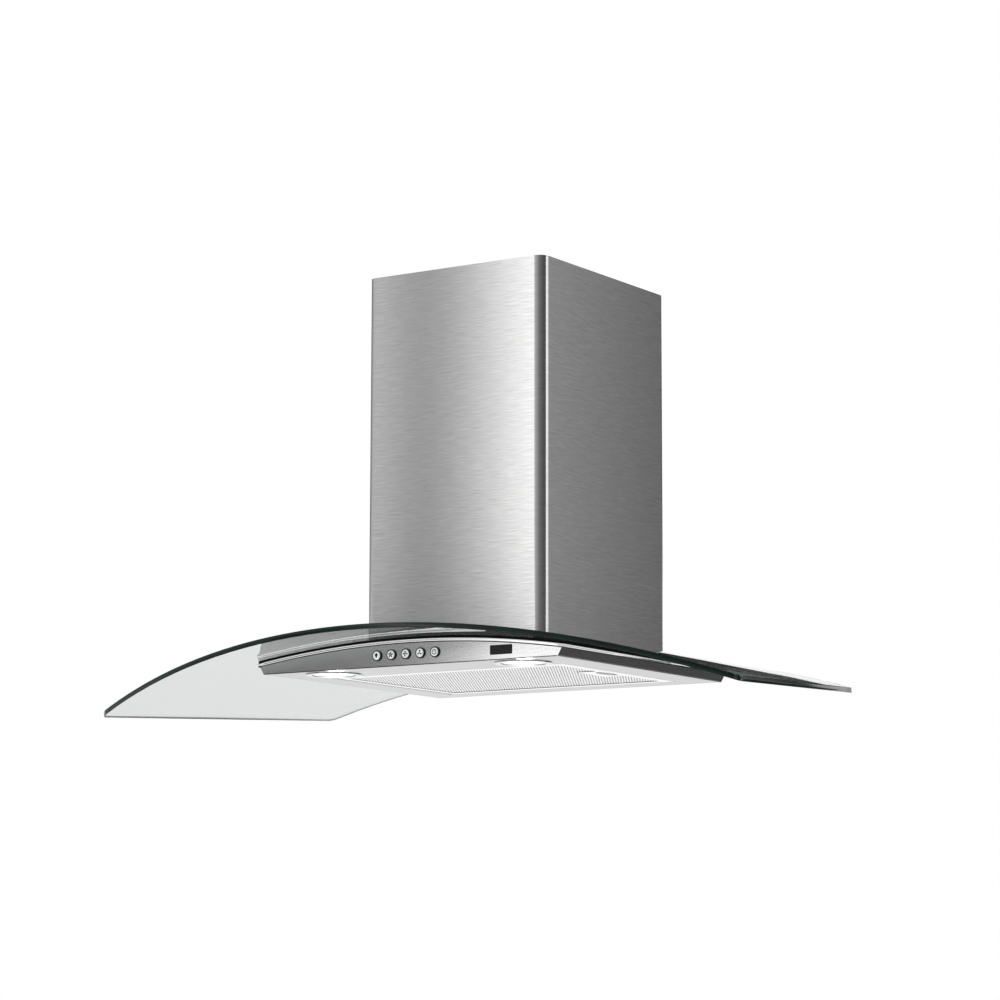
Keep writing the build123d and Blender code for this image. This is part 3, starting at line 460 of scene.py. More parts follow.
# %% [markdown]
# ## Rubber and moulded plastics
# The seal is black EPDM rubber, matt with a faint grain. The bezels and the switch block are
# black ABS, the latch is grey ABS, the scroll is dark ABS, the gland and the sleeves are nylon,
# and the duct collar with its flaps is polypropylene. Their moulds are spark eroded, which
# leaves a fine grain that breaks the highlights. A higher roughness alone could stand for it, but
# a noise in colour, roughness and relief keeps large faces from looking drawn. Real grain is
# about 0.1 mm wide, too fine to show, so it is drawn 0.6 to 1.2 mm wide.

# %% Seal, bezels and hidden mouldings
grain_relief = 0.35
grain_spread = 0.08


def grained(name, base, speck, roughness, grain, depth, gloss=0.5):
    """Moulded, painted or printed surface with a fine grain. gloss is the specular level."""
    material, tree, shader = new_material(name, {"IOR": 1.5, "Specular IOR Level": gloss})
    place = add_node(tree, "ShaderNodeTexCoord").outputs["Object"]
    texture = add_node(
        tree, "ShaderNodeTexNoise", {"Vector": place, "Scale": 1 / grain, "Detail": 2.0}
    )
    finish_shader(
        tree, shader, texture, (linear(base), linear(speck)),
        (roughness - grain_spread, roughness + grain_spread), texture, grain_relief, depth,
    )
    return material


dress(grained("rubber_epdm_black", "#040404", "#090a0a", 0.7, 0.8 * MM, 0.03 * MM, gloss=0.1),
      "glass_gasket")
black_abs = grained("abs_black_satin", "#0a0b0c", "#141517", 0.4, 0.6 * MM, 0.02 * MM, gloss=0.25)
dress(black_abs, "button_bezels", "switch_block")
dress(grained("nylon_black", "#101113", "#1c1e20", 0.5, 0.9 * MM, 0.03 * MM),
      "cable_gland", "glass_sleeves", "control_box")
dress(grained("abs_grey_satin", "#77797b", "#85878a", 0.4, 0.7 * MM, 0.02 * MM), "filter_latch")
dress(grained("abs_scroll_anthracite", "#2a2c2f", "#383b3e", 0.46, 1.2 * MM, 0.04 * MM),
      "blower_scroll", "inlet_rings")
dress(grained("polypropylene_collar", "#1c1e20", "#292c2f", 0.42, 1.1 * MM, 0.03 * MM),
      "outlet_collar", "damper_flap_rear", "damper_flap_front")

# %% [markdown]
# ## Galvanised sheet and machined metals
# The inner cabinet and the brackets are hot-dip galvanised steel. Its zinc freezes in flat
# crystals, the spangle, about 8 mm across, each mirroring a little differently. A smooth noise
# would blur them into clouds, so Blender's cell texture gives one value to each crystal, and a
# noise bends their borders. The plated screws, the ground shaft and damper pin and the pressed
# impeller take the polished finish, but duller. The painted motor and the lamp housings take the
# grained one.

# %% Galvanised, plated, ground and painted metals
spangle_smooth, spangle_dull = 0.32, 0.52


def spangled_zinc(name, dark, pale, crystal):
    """Galvanised sheet: one tone and one roughness for each zinc crystal."""
    material, tree, shader = new_material(name, {"Metallic": 1.0})
    place = add_node(tree, "ShaderNodeTexCoord").outputs["Object"]
    warp = add_node(
        tree, "ShaderNodeTexNoise", {"Vector": place, "Scale": 1 / crystal, "Detail": 2.0}
    )
    bent = add_node(
        tree, "ShaderNodeVectorMath",
        {0: warp.outputs["Color"], 1: (crystal, crystal, crystal), 2: place},
        operation="MULTIPLY_ADD",
    )
    crystals = add_node(tree, "ShaderNodeTexVoronoi", {"Vector": bent, "Scale": 1 / crystal})
    tone = add_node(tree, "ShaderNodeSeparateColor", {0: crystals.outputs["Color"]})
    colour = add_node(
        tree, "ShaderNodeMix", {0: tone, 6: linear(dark), 7: linear(pale)}, data_type="RGBA"
    )
    rough = add_node(
        tree, "ShaderNodeMapRange",
        {"Value": tone.outputs[1], "To Min": spangle_smooth, "To Max": spangle_dull},
    )
    fill(tree, shader, {"Base Color": colour.outputs[2], "Roughness": rough})
    return material


dress(spangled_zinc("steel_galvanised_spangled", "#8d9194", "#b2b6b9", 8 * MM),
      "motor_box", "box_top", "wall_bracket", "chimney_bracket", "motor_mount")
screw_metal = polished_metal("steel_zinc_plated", "#b9bcc0", 0.3, 3 * MM, 0.01 * MM)
dress(screw_metal, "glass_screws", "chimney_screws")
dress(polished_metal("steel_ground", "#c3c5c7", 0.22, 2 * MM, 0.01 * MM),
      "motor_shaft", "damper_pin")
dress(polished_metal("aluminium_pressed", "#bfc2c6", 0.36, 8 * MM, 0.03 * MM), "fan_impeller")
dress(grained("aluminium_cast_painted", "#6b6e72", "#7a7d81", 0.48, 1.0 * MM, 0.05 * MM),
      "fan_motor")
dress(grained("aluminium_spun_white", "#cfcfcd", "#dadad8", 0.5, 1.0 * MM, 0.02 * MM),
      "lamp_housing_left", "lamp_housing_right")

# %% [markdown]
# ## Grease filter
# The frame is folded aluminium, brushed and then satin anodised, which makes it pale and its
# shine soft. Its mesh pack is layers of expanded aluminium foil: thin strands that cross at a low
# angle and leave open diamonds about 5 mm high. Real strands would be tens of thousands of faces
# that hardly ever show, so they are drawn on the slab: two sets of bands, turned either way, are
# laid over each other, and the stronger one wins. The diamonds between them are dark grey, which
# is painted shade of the open depth of the pack.

# %% Filter frame
filter_metal = brushed_metal("aluminium_anodised_satin", "#ececec", "#fbfbfb", "Y", rearward,
                             roughness=0.36, anisotropy=0.3)
dress(filter_metal, "filter_frame")

# %% Expanded foil of the mesh pack
strand_pitch = 5 * MM
strand_angle = math.radians(32)
strand_edge, strand_middle = 0.72, 0.9
# A wave of scale 1 has about three bands in each metre, hence the factor of pi / 10.
strand_scale = math.pi / 10 / strand_pitch
foil_material, tree, shader = new_material(
    "aluminium_expanded_foil_painted_shade", {"Metallic": 1.0, "Roughness": 0.42}
)
place = add_node(tree, "ShaderNodeTexCoord").outputs["Object"]
strands = []
for turn in (strand_angle, -strand_angle):
    lattice = add_node(tree, "ShaderNodeMapping", {"Vector": place, "Rotation": (0, 0, turn)})
    strands.append(add_node(
        tree, "ShaderNodeTexWave",
        {"Vector": lattice, "Scale": strand_scale, "Distortion": 0.6, "Detail": 0.0},
        bands_direction="Y",
    ).outputs["Fac"])
crossed = add_node(tree, "ShaderNodeMath", {0: strands[0], 1: strands[1]}, operation="MAXIMUM")
strand = add_node(
    tree, "ShaderNodeMapRange",
    {"Value": crossed, "From Min": strand_edge, "From Max": strand_middle},
)
# Dark grey between the strands: painted shade of the open diamonds.
colour = add_node(
    tree, "ShaderNodeMix", {0: strand, 6: linear("#2d2f31"), 7: linear("#9c9fa2")}, data_type="RGBA"
)
relief = add_node(tree, "ShaderNodeBump", {"Height": strand, "Strength": 0.6, "Distance": 0.4 * MM})
fill(tree, shader, {"Base Color": colour.outputs[2], "Normal": relief})
dress(foil_material, "filter_core")

# %% [markdown]
# ## Polished bead under the seal
# A half-round steel bead, 3.5 mm high and 1 mm proud, runs round the front and both sides of the
# body just under the black seal. It could be a curve with a bevel, but a curve twists its
# section where it turns the corner. So a half-round section is set at stations along the rim,
# with a mitre at both front corners, and faces join them. The bead replaces the plain strip of
# the imported model. A fine line of black sealant closes the joint below it, and its black is
# painted shade of the gap there. One function makes both, and the edge of the glass as well.

# %% Functions that keep a finished form as a piece
weld_gap = 0.001 * MM


def ride_on(name, mesh, body):
    """Puts a finished mesh into the scene as a piece that rides on a body, with its slot."""
    piece = put(name, mesh)
    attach(piece, body)
    print(name, len(mesh.polygons), "faces, rides on", body)
    return piece


def keep_piece(name, form, material, body):
    """Turns a bmesh into a piece that rides on a body, with its faces pointing outwards."""
    bmesh.ops.remove_doubles(form, verts=form.verts, dist=weld_gap)
    bmesh.ops.recalc_face_normals(form, faces=form.faces)
    mesh = bpy.data.meshes.new(name)
    form.to_mesh(mesh)
    form.free()
    mesh.materials.append(material)
    return ride_on(name, mesh, body)


# %% Functions that join loops by faces, and that make a half-round bead
def skin(form, loops, closed):
    """Faces between neighbouring loops. closed joins the last loop to the first as well."""
    for first, second in zip(loops, loops[1:] + loops[:1] if closed else loops[1:]):
        for i in range(len(first)):
            j = (i + 1) % len(first)
            form.faces.new((first[i], first[j], second[j], second[i]))


def half_round(name, stations, proud, material, closed=False, steps=10):
    """Bead on the body, through stations of (x, y, out x, out y, low, high)."""
    form = bmesh.new()
    loops = []
    for x, y, out_x, out_y, low, high in stations:
        loop = []
        for step in range(steps + 1):
            angle = math.pi * (0.5 - step / steps)
            out, up = proud * math.cos(angle), (high - low) / 2 * math.sin(angle)
            loop.append(form.verts.new((x + out_x * out, y + out_y * out, (low + high) / 2 + up)))
        loops.append(loop)
    skin(form, loops, closed)
    if not closed:
        form.faces.new(loops[0])
        form.faces.new(reversed(loops[-1]))
    piece = keep_piece(name, form, material, "hood")
    for face in piece.data.polygons:
        face.use_smooth = len(face.vertices) == 4
    return piece


# %% Rim of the body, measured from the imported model
strip_low, strip_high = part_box("trim_strip")
seal_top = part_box("glass_gasket")[1].z
arch_radius = 1380 * MM
seal_thickness = 3 * MM
bead_height = 3.5 * MM
bead_proud = 1.0 * MM
seam_height = 1.0 * MM
seam_proud = 0.4 * MM
front_stations = 48
rim_half = strip_high.x - bead_proud
rim_front = strip_low.y + bead_proud
rim_back = strip_high.y
print("rim", round(2000 * rim_half, 1), "mm wide, front at", round(1000 * rim_front, 1), "mm")


def rim_level(x):
    """Height of the lower face of the seal at this distance from the middle."""
    radius = arch_radius - seal_thickness
    return seal_top - arch_radius + math.sqrt(radius ** 2 - x ** 2)


def rim_stations(drop, height):
    """Stations round the rim of the body, for a bead whose top is this far under the seal."""
    plan = [(-rim_half, rim_back, -1, 0), (-rim_half, rim_front, -1, -1)]
    for step in range(1, front_stations):
        plan.append((rim_half * (2 * step / front_stations - 1), rim_front, 0, -1))
    plan += [(rim_half, rim_front, 1, -1), (rim_half, rim_back, 1, 0)]
    tops = [rim_level(spot[0]) - drop for spot in plan]
    return [(*spot, top - height, top) for spot, top in zip(plan, tops)]


# %% Polished bead and the dark joint under it
bead = half_round(
    "polished_bead", rim_stations(0.0, bead_height), bead_proud, trim_metal
)
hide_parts("trim_strip")
# Both joint beads are black: painted shade of the gaps at the joints.
joint_painted_shade = grained("black_sealant_joint_painted_shade", "#08090a", "#111213", 0.6, 1.5 * MM, 0.03 * MM)
half_round("bead_joint", rim_stations(bead_height, seam_height), seam_proud, joint_painted_shade)

# %% [markdown]
# ## Edge of the glass
# The edge of tempered glass is ground round and polished, which is called a pencil edge. Light
# that reaches it has come along the whole sheet, so it looks almost black, with a little green.
# Here that look is painted: an opaque near-black colour with slow patches of dark green, which
# are painted glints.
# It could be a bevel of the sheet, but the sheet belongs to the imported model, so a half-round
# edge is laid round it: the bowed front, the rounded corners, the two sides and the back.

# %% Outline of the glass
glass_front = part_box("glass_canopy")[0].y
glass_half_span = 449 * MM
glass_half_back = 385 * MM
front_bow_radius = 1250 * MM
glass_thickness = 6 * MM
corner_radius = 9 * MM
# The middle of a rounded corner lies this far inside the sharp one, across and along the side.
corner_in, corner_back = 0.25 * corner_radius, 0.2 * corner_radius
edge_proud = 0.8 * MM
edge_stations = 96
print("glass", round(2000 * glass_half_span), "mm wide, front at", round(1000 * glass_front), "mm")


def glass_levels(x):
    """Lower and upper face of the glass at this distance from the middle."""
    arch = seal_top - arch_radius
    outer = arch_radius + glass_thickness
    return [arch + math.sqrt(radius ** 2 - x ** 2) for radius in (arch_radius, outer)]


def front_edge(x):
    """Y of the bowed front edge at this distance from the middle."""
    return glass_front + front_bow_radius - math.sqrt(front_bow_radius ** 2 - x ** 2)


def evenly(start, end):
    """Evenly spaced numbers from start up to, but not at, end."""
    return [start + (end - start) * i / edge_stations for i in range(edge_stations)]


# %% Pencil edge
tip = front_edge(glass_half_span)
side_inset = corner_radius * (glass_half_span - glass_half_back) / abs(tip)
front_half = glass_half_span - corner_radius
back_half = glass_half_back - corner_radius
right_side = [
    (front_half, front_edge(front_half)),
    (glass_half_span - corner_in, tip + corner_back),
    (glass_half_span - side_inset, tip + corner_radius),
    (glass_half_back + side_inset, -corner_radius),
    (glass_half_back - corner_in, -corner_back),
]
outline = [(x, front_edge(x)) for x in evenly(-front_half, front_half)]
outline += right_side
outline += [(x, -edge_proud) for x in evenly(back_half, -back_half)]
outline += [(-x, y) for x, y in reversed(right_side)]
stations = []
for i, (x, y) in enumerate(outline):
    before, after = Vector(outline[i - 1]), Vector(outline[(i + 1) % len(outline)])
    along = (after - before).normalized()
    stations.append((x, y, along.y, -along.x, *glass_levels(x)))
# An opaque colour: its near-black stands in for light seen along the sheet, and its green patches
# are painted glints.
glass_edge_painted_glints = grained(
    "float_glass_edge_painted_glints", "#040807", "#0d261e", 0.12, 30 * MM, 0.004 * MM, gloss=0.3
)
half_round("glass_edge", stations, edge_proud, glass_edge_painted_glints, closed=True)

# %% [markdown]
# ## Perforated sheet of the filter
# What the cook sees of the filter is an aluminium sheet with thousands of small round holes, in
# rows that stand in each other's gaps. It could be a pattern of dark dots in the material, but
# open holes keep their depth from every side and show the mesh behind. So Geometry Nodes make
# one six-sided cell with a hole, put it on every point of a staggered grid, merge the cells and
# give the sheet its thickness. Points inside the latch block are left out. The walls of the
# holes are rough, as the punch leaves them, and have a dark finish of their own, which is painted
# shade of the depth of the holes. Real holes are about 3.2 mm apart, and these 3.8 mm, which
# keeps the sheet to a sensible size.

# %% Functions that start a node tree, and that run it into a plain mesh
def geometry_tree(name, inputs):
    """Geometry node tree whose inputs are given as name: kind of socket."""
    tree = bpy.data.node_groups.new(name, "GeometryNodeTree")
    tree.interface.new_socket("Geometry", in_out="INPUT", socket_type="NodeSocketGeometry")
    for key, kind in inputs.items():
        tree.interface.new_socket(key, in_out="INPUT", socket_type="NodeSocket" + kind)
    tree.interface.new_socket("Geometry", in_out="OUTPUT", socket_type="NodeSocketGeometry")
    return tree, add_node(tree, "NodeGroupInput").outputs


def run_tree(name, tree, values, body, start=None):
    """Runs a tree on a start mesh, and keeps the result as a plain mesh that rides on a body."""
    maker = put(name + "_maker", start or bpy.data.meshes.new(name + "_start"))
    modifier = maker.modifiers.new(name, "NODES")
    modifier.node_group = tree
    for item in tree.interface.items_tree:
        if item.in_out == "INPUT" and item.name in values:
            modifier[item.identifier] = values[item.name]
    graph = bpy.context.evaluated_depsgraph_get()
    mesh = bpy.data.meshes.new_from_object(maker.evaluated_get(graph))
    mesh.name = name
    bpy.data.objects.remove(maker)
    return ride_on(name, mesh, body)


# %% Grid of the perforated sheet
tree, given = geometry_tree("perforated_sheet", {
    "Pitch": "Float", "Hole diameter": "Float", "Width": "Float", "Depth": "Float",
    "Thickness": "Float", "Block width": "Float", "Block depth": "Float",
    "Centre": "Vector", "Material": "Material", "Wall material": "Material",
})
row_step = add_node(
    tree, "ShaderNodeMath", {0: given["Pitch"], 1: math.sin(math.radians(60))}, operation="MULTIPLY"
)
counts, spans = [], []
for size, step in ((given["Width"], given["Pitch"]), (given["Depth"], row_step)):
    gaps = add_node(tree, "ShaderNodeMath", {0: size, 1: step}, operation="DIVIDE")
    gaps = add_node(tree, "ShaderNodeMath", {0: gaps}, operation="CEIL")
    counts.append(add_node(tree, "ShaderNodeMath", {0: gaps, 1: 1.0}, operation="ADD"))
    spans.append(add_node(tree, "ShaderNodeMath", {0: gaps, 1: step}, operation="MULTIPLY"))
points = add_node(
    tree, "GeometryNodeMeshGrid",
    {"Size X": spans[0], "Size Y": spans[1], "Vertices X": counts[0], "Vertices Y": counts[1]},
)
print("perforated sheet with", len(given) - 1, "inputs")

# %% Stagger of the rows
place = add_node(tree, "GeometryNodeInputPosition")
at = add_node(tree, "ShaderNodeSeparateXYZ", {0: place})
half_pitch, half_width, block_half = (
    add_node(tree, "ShaderNodeMath", {0: given[key], 1: 0.5}, operation="MULTIPLY")
    for key in ("Pitch", "Width", "Block depth")
)
# The number of a row, rounded down with a quarter row to spare, is even or odd. Half of the rows
# then move a quarter of the pitch to one side, and the others as far to the other.
shift = at.outputs["Y"]
for operation, number in (
    ("DIVIDE", row_step), ("ADD", 0.25), ("FLOOR", 0.0), ("FLOORED_MODULO", 2.0),
    ("SUBTRACT", 0.5), ("MULTIPLY", half_pitch),
):
    shift = add_node(tree, "ShaderNodeMath", {0: shift, 1: number}, operation=operation)
offset = add_node(tree, "ShaderNodeCombineXYZ", {"X": shift})
staggered = add_node(tree, "GeometryNodeSetPosition", {"Geometry": points, "Offset": offset})
print("with the stagger,", len(tree.nodes), "nodes")

# %% Gap for the latch block
block_left = add_node(
    tree, "ShaderNodeMath", {0: half_width, 1: given["Block width"]}, operation="SUBTRACT"
)
past_block = add_node(
    tree, "FunctionNodeCompare", {0: at.outputs["X"], 1: block_left}, operation="GREATER_THAN"
)
across = add_node(tree, "ShaderNodeMath", {0: at.outputs["Y"]}, operation="ABSOLUTE")
beside_block = add_node(
    tree, "FunctionNodeCompare", {0: across, 1: block_half}, operation="LESS_THAN"
)
in_block = add_node(
    tree, "FunctionNodeBooleanMath", {0: past_block, 1: beside_block}, operation="AND"
)
kept = add_node(
    tree, "GeometryNodeDeleteGeometry",
    {"Geometry": staggered, "Selection": in_block}, domain="POINT",
)
print("with the gap,", len(tree.nodes), "nodes")

# %% One cell with its hole
cell_radius = add_node(
    tree, "ShaderNodeMath", {0: given["Pitch"], 1: math.sqrt(3)}, operation="DIVIDE"
)
cell_width = add_node(tree, "ShaderNodeMath", {0: cell_radius, 1: 2.0}, operation="MULTIPLY")
hole_share = add_node(
    tree, "ShaderNodeMath", {0: given["Hole diameter"], 1: cell_width}, operation="DIVIDE"
)
cell = add_node(
    tree, "GeometryNodeMeshCircle", {"Vertices": 6, "Radius": cell_radius}, fill_type="NGON"
)
turned = add_node(
    tree, "GeometryNodeTransform", {"Geometry": cell, "Rotation": (0, 0, math.radians(30))}
)
inset = add_node(
    tree, "GeometryNodeExtrudeMesh", {"Mesh": turned, "Offset Scale": 0.0}, mode="FACES"
)
hole = add_node(tree, "GeometryNodeScaleElements", {
    "Geometry": inset, "Selection": inset.outputs["Top"], "Scale": hole_share,
})
open_cell = add_node(
    tree, "GeometryNodeDeleteGeometry",
    {"Geometry": hole, "Selection": inset.outputs["Top"]}, domain="FACE",
)
print("with the cell,", len(tree.nodes), "nodes")

# %% The cells on their points, merged into a sheet with a thickness
merge_gap = 0.01 * MM
cells = add_node(tree, "GeometryNodeInstanceOnPoints", {"Points": kept, "Instance": open_cell})
real = add_node(tree, "GeometryNodeRealizeInstances", {0: cells})
flat = add_node(tree, "GeometryNodeMergeByDistance", {"Geometry": real, "Distance": merge_gap})
rise = add_node(tree, "ShaderNodeCombineXYZ", {"Z": given["Thickness"]})
raised = add_node(tree, "GeometryNodeExtrudeMesh", {
    "Mesh": flat, "Offset": rise, "Offset Scale": 1.0, "Individual": False,
}, mode="FACES")
under = add_node(tree, "GeometryNodeFlipFaces", {"Mesh": flat})
both = add_node(tree, "GeometryNodeJoinGeometry", {0: under})
fill(tree, both, {0: raised})
closed = add_node(tree, "GeometryNodeMergeByDistance", {"Geometry": both, "Distance": merge_gap})
placed = add_node(
    tree, "GeometryNodeTransform", {"Geometry": closed, "Translation": given["Centre"]}
)
coated = add_node(
    tree, "GeometryNodeSetMaterial", {"Geometry": placed, "Material": given["Material"]}
)
# The walls of the holes take the wall material, which is painted shade of the depth of the holes.
finish = add_node(tree, "GeometryNodeSetMaterial", {
    "Geometry": coated, "Selection": raised.outputs["Side"], "Material": given["Wall material"],
})
add_node(tree, "NodeGroupOutput", {0: finish})
print("perforated sheet tree,", len(tree.nodes), "nodes")

# %% Perforated sheet
# Dark grey walls: painted shade of the depth of the holes. Their roughness is the punch's.
hole_wall_painted_shade = grained("aluminium_hole_wall_painted_shade", "#26282a", "#3c3e40", 0.5, 1.0 * MM, 0.02 * MM)
sheet_low, sheet_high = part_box("filter_face")
sheet_size = sheet_high - sheet_low
filter_sheet = run_tree("filter_sheet", tree, {
    "Pitch": 3.8 * MM, "Hole diameter": 2.3 * MM,
    "Width": sheet_size.x, "Depth": sheet_size.y, "Thickness": sheet_size.z,
    "Block width": 26.5 * MM, "Block depth": 62 * MM,
    "Centre": ((sheet_low.x + sheet_high.x) / 2, (sheet_low.y + sheet_high.y) / 2, sheet_low.z),
    "Material": filter_metal, "Wall material": hole_wall_painted_shade,
}, "filter")
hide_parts("filter_face")

# %% [markdown]
# ## Rims of the buttons
# Round each button stands a black rim, almost as proud as the cap, so that a dark ring shows on
# all sides of it. A ring of Blender's own would have a round section, and this one is flat with
# rounded edges, so one small section is turned about the axis of each button.

# %% Button rims
rim_inner, rim_outer = 5.2 * MM, 6.3 * MM
rim_proud = 2.1 * MM
rim_round = 0.35 * MM
rim_turns = 40
section = [
    (rim_outer, 0.0), (rim_outer, rim_proud - rim_round), (rim_outer - rim_round, rim_proud),
    (rim_inner + rim_round, rim_proud), (rim_inner, rim_proud - rim_round), (rim_inner, 0.0),
]
fascia_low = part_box("fascia")[0]
rims = bmesh.new()
for name in button_names:
    low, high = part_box("button_" + name)
    middle = (low + high) / 2
    loops = []
    for step in range(rim_turns):
        c, s = around(360 * step / rim_turns)
        loops.append([
            rims.verts.new((middle.x + radius * c, fascia_low.y - out, middle.z + radius * s))
            for radius, out in section
        ])
    skin(rims, loops, closed=True)
button_rims = keep_piece("button_rims", rims, black_abs, "hood")
button_rims.data.shade_smooth()

# %% [markdown]
# ## Marks on the buttons
# Each cap carries a small printed mark: a bulb for the light, a fan with five, four or three
# blades for the three speeds, and a clock face for the timer. Print is a film of ink. It could be
# painted in the material, but a plate 0.05 mm thick keeps its edges sharp and rides with its
# cap. The shapes are short loops of points, in millimetres from the middle of the cap.

# %% A function that prints flat shapes on a cap
ink = grained("ink_pad_printed_dark", "#08090a", "#101112", 0.55, 0.5 * MM, 0.005 * MM, gloss=0.2)
ink_thickness = 0.05 * MM


def disc(x, z, radius, start=0.0, end=360.0, steps=20):
    """Points on a circle, or on a part of it with both of its ends, in millimetres."""
    count = steps if end - start == 360 else steps + 1
    turns = [around(start + (end - start) * i / steps) for i in range(count)]
    return [(x + radius * c, z + radius * s) for c, s in turns]


def print_mark(name, shapes, rings=()):
    """Prints filled outlines and rings (x, z, inner, outer radius) on the cap of a button."""
    low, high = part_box(name)
    middle = (low + high) / 2
    form = bmesh.new()

    def loop(outline, rise):
        return [
            form.verts.new((middle.x + x * MM, low.y - rise, middle.z + z * MM))
            for x, z in outline
        ]

    for outline in shapes:
        front, back = loop(outline, ink_thickness), loop(outline, 0.0)
        form.faces.new(front)
        form.faces.new(reversed(back))
        skin(form, [back, front], closed=False)
    for x, z, inner, outer in rings:
        corners = ((inner, 0.0), (inner, ink_thickness), (outer, ink_thickness), (outer, 0.0))
        skin(form, [loop(disc(x, z, radius), rise) for radius, rise in corners], closed=True)
    keep_piece(name + "_mark", form, ink, name)


def fan_blade(turn):
    """One blade of a fan mark: a leaf that leaves the hub at this angle."""
    leaf = [(0.5, -0.3), (1.4, -0.95), (2.8, -1.0), (3.5, 0.1), (2.6, 0.8), (1.4, 0.6)]
    c, s = around(turn)
    return [(c * x - s * z, s * x + c * z) for x, z in leaf]


# %% The five marks
bulb = disc(0, 0.7, 1.9, -50, 230) + [(-0.9, -2.4), (0.9, -2.4)]
print_mark("button_lamp", [bulb])
for speed, blades in ((1, 5), (2, 4), (3, 3)):
    leaves = [fan_blade(90 + 360 * i / blades) for i in range(blades)]
    print_mark("button_speed_" + str(speed), [disc(0, 0, 0.6)] + leaves)
hand = [(-0.45, -0.45), (0.45, -0.45), (0.45, 1.6), (-0.45, 1.6)]
clock_face = (0, 0, 2.3, 3.2)
print_mark("button_timer", [hand], rings=[clock_face])

# %% [markdown]
# ## Blank plate
# At the right of the fascia sits a small plate of black enamelled steel, left blank here. A
# scaled cube would have knife edges, so it is a rounded outline given a thickness, with its front
# edge bevelled so that it catches a thin light.

# %% Blank plate on the fascia
plate_low, plate_high = Vector((117, 0, 6)) * MM, Vector((147, 0, 17)) * MM
plate_thickness = 0.6 * MM
plate_corner = 1.2 * MM
plate_edge = 0.25 * MM
corner_steps = 4
plate = bmesh.new()
outline = []
for x, z, start in ((1, 1, 0), (-1, 1, 90), (-1, -1, 180), (1, -1, 270)):
    corner_x = (plate_high.x if x > 0 else plate_low.x) - x * plate_corner
    corner_z = (plate_high.z if z > 0 else plate_low.z) - z * plate_corner + fascia_low.z
    for step in range(corner_steps + 1):
        c, s = around(start + 90 * step / corner_steps)
        outline.append((corner_x + plate_corner * c, corner_z + plate_corner * s))
plate.faces.new([plate.verts.new((x, fascia_low.y, z)) for x, z in outline])
grown = bmesh.ops.extrude_face_region(plate, geom=list(plate.faces))["geom"]
front_face = next(item for item in grown if isinstance(item, bmesh.types.BMFace))
bmesh.ops.translate(plate, verts=front_face.verts, vec=(0, -plate_thickness, 0))
bmesh.ops.bevel(plate, geom=list(front_face.edges), offset=plate_edge, segments=2,
                affect="EDGES", profile=0.5)
enamel = grained("steel_enamelled_black", "#050506", "#0b0b0c", 0.3, 2 * MM, 0.005 * MM, gloss=0.25)
keep_piece("blank_plate", plate, enamel, "hood")

# %% [markdown]
# ## Joint under the fascia
# The fascia and the underside are two sheets, and the joint between them shows as a fine dark line
# along the lower edge, where the gap holds shade. A dark stripe in the material would follow only
# one of the sheets, so a half-round bead of black sealant, 0.9 mm high, is set there: its black is
# painted shade of the gap.

# %% Sealant bead in the joint, black as painted shade of the gap
joint_radius = 0.45 * MM
joint_steps = 6
joint_inset = 1.5 * MM
joint_sunk, joint_rise = 0.15 * MM, 0.5 * MM
joint_y, joint_z = fascia_low.y + joint_sunk, fascia_low.z + joint_rise
joint_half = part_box("underside_plate")[1].x - joint_inset
half_round("joint_bead", [
    (x, joint_y, 0, -1, joint_z - joint_radius, joint_z + joint_radius)
    for x in (-joint_half, joint_half)
], joint_radius, joint_painted_shade, steps=joint_steps)

# %% [markdown]
# ## Sheet-metal screws
# The cabinet's top, the duct collar, the inlet rings and the motor mount are held by small
# zinc-plated pan-head screws with a cross recess. They could be copies of one mesh, but one tree
# describes them all: it makes the head, cuts the cross out of it and sets it on every point of a
# small cloud, turned to the direction stored there.

# %% Head of a screw
tree, given = geometry_tree("pan_head_screws", {
    "Head diameter": "Float", "Head height": "Float", "Recess width": "Float",
    "Material": "Material",
})
crown_share = 0.72
recess_share = 0.55
radius, half_height, recess_length = (
    add_node(tree, "ShaderNodeMath", {0: given[key], 1: share}, operation="MULTIPLY")
    for key, share in (
        ("Head diameter", 0.5), ("Head height", 0.5), ("Head diameter", recess_share),
    )
)
body = add_node(
    tree, "GeometryNodeMeshCylinder",
    {"Vertices": 16, "Radius": radius, "Depth": given["Head height"]},
)
crown = add_node(tree, "GeometryNodeScaleElements", {
    "Geometry": body, "Selection": body.outputs["Top"], "Scale": crown_share,
})
lift = add_node(tree, "ShaderNodeCombineXYZ", {"Z": half_height})
seated = add_node(tree, "GeometryNodeTransform", {"Geometry": crown, "Translation": lift})
top = add_node(tree, "ShaderNodeCombineXYZ", {"Z": given["Head height"]})
recess = add_node(tree, "GeometryNodeMeshBoolean", {0: seated}, operation="DIFFERENCE")
recess_width = given["Recess width"]
for x, y in ((recess_length, recess_width), (recess_width, recess_length)):
    size = add_node(tree, "ShaderNodeCombineXYZ", {"X": x, "Y": y, "Z": given["Head height"]})
    bar = add_node(tree, "GeometryNodeMeshCube", {"Size": size})
    sunk = add_node(tree, "GeometryNodeTransform", {"Geometry": bar, "Translation": top})
    fill(tree, recess, {1: sunk})
print("head of a screw,", len(tree.nodes), "nodes")

# %% The head on every point
facing = add_node(
    tree, "GeometryNodeInputNamedAttribute", {"Name": "facing"}, data_type="FLOAT_VECTOR"
)
turn = add_node(tree, "FunctionNodeAlignRotationToVector", {"Vector": facing}, axis="Z")
heads = add_node(tree, "GeometryNodeInstanceOnPoints", {
    "Points": given["Geometry"], "Instance": recess, "Rotation": turn,
})
real = add_node(tree, "GeometryNodeRealizeInstances", {0: heads})
finish = add_node(
    tree, "GeometryNodeSetMaterial", {"Geometry": real, "Material": given["Material"]}
)
add_node(tree, "NodeGroupOutput", {0: finish})
print("screw tree,", len(tree.nodes), "nodes")

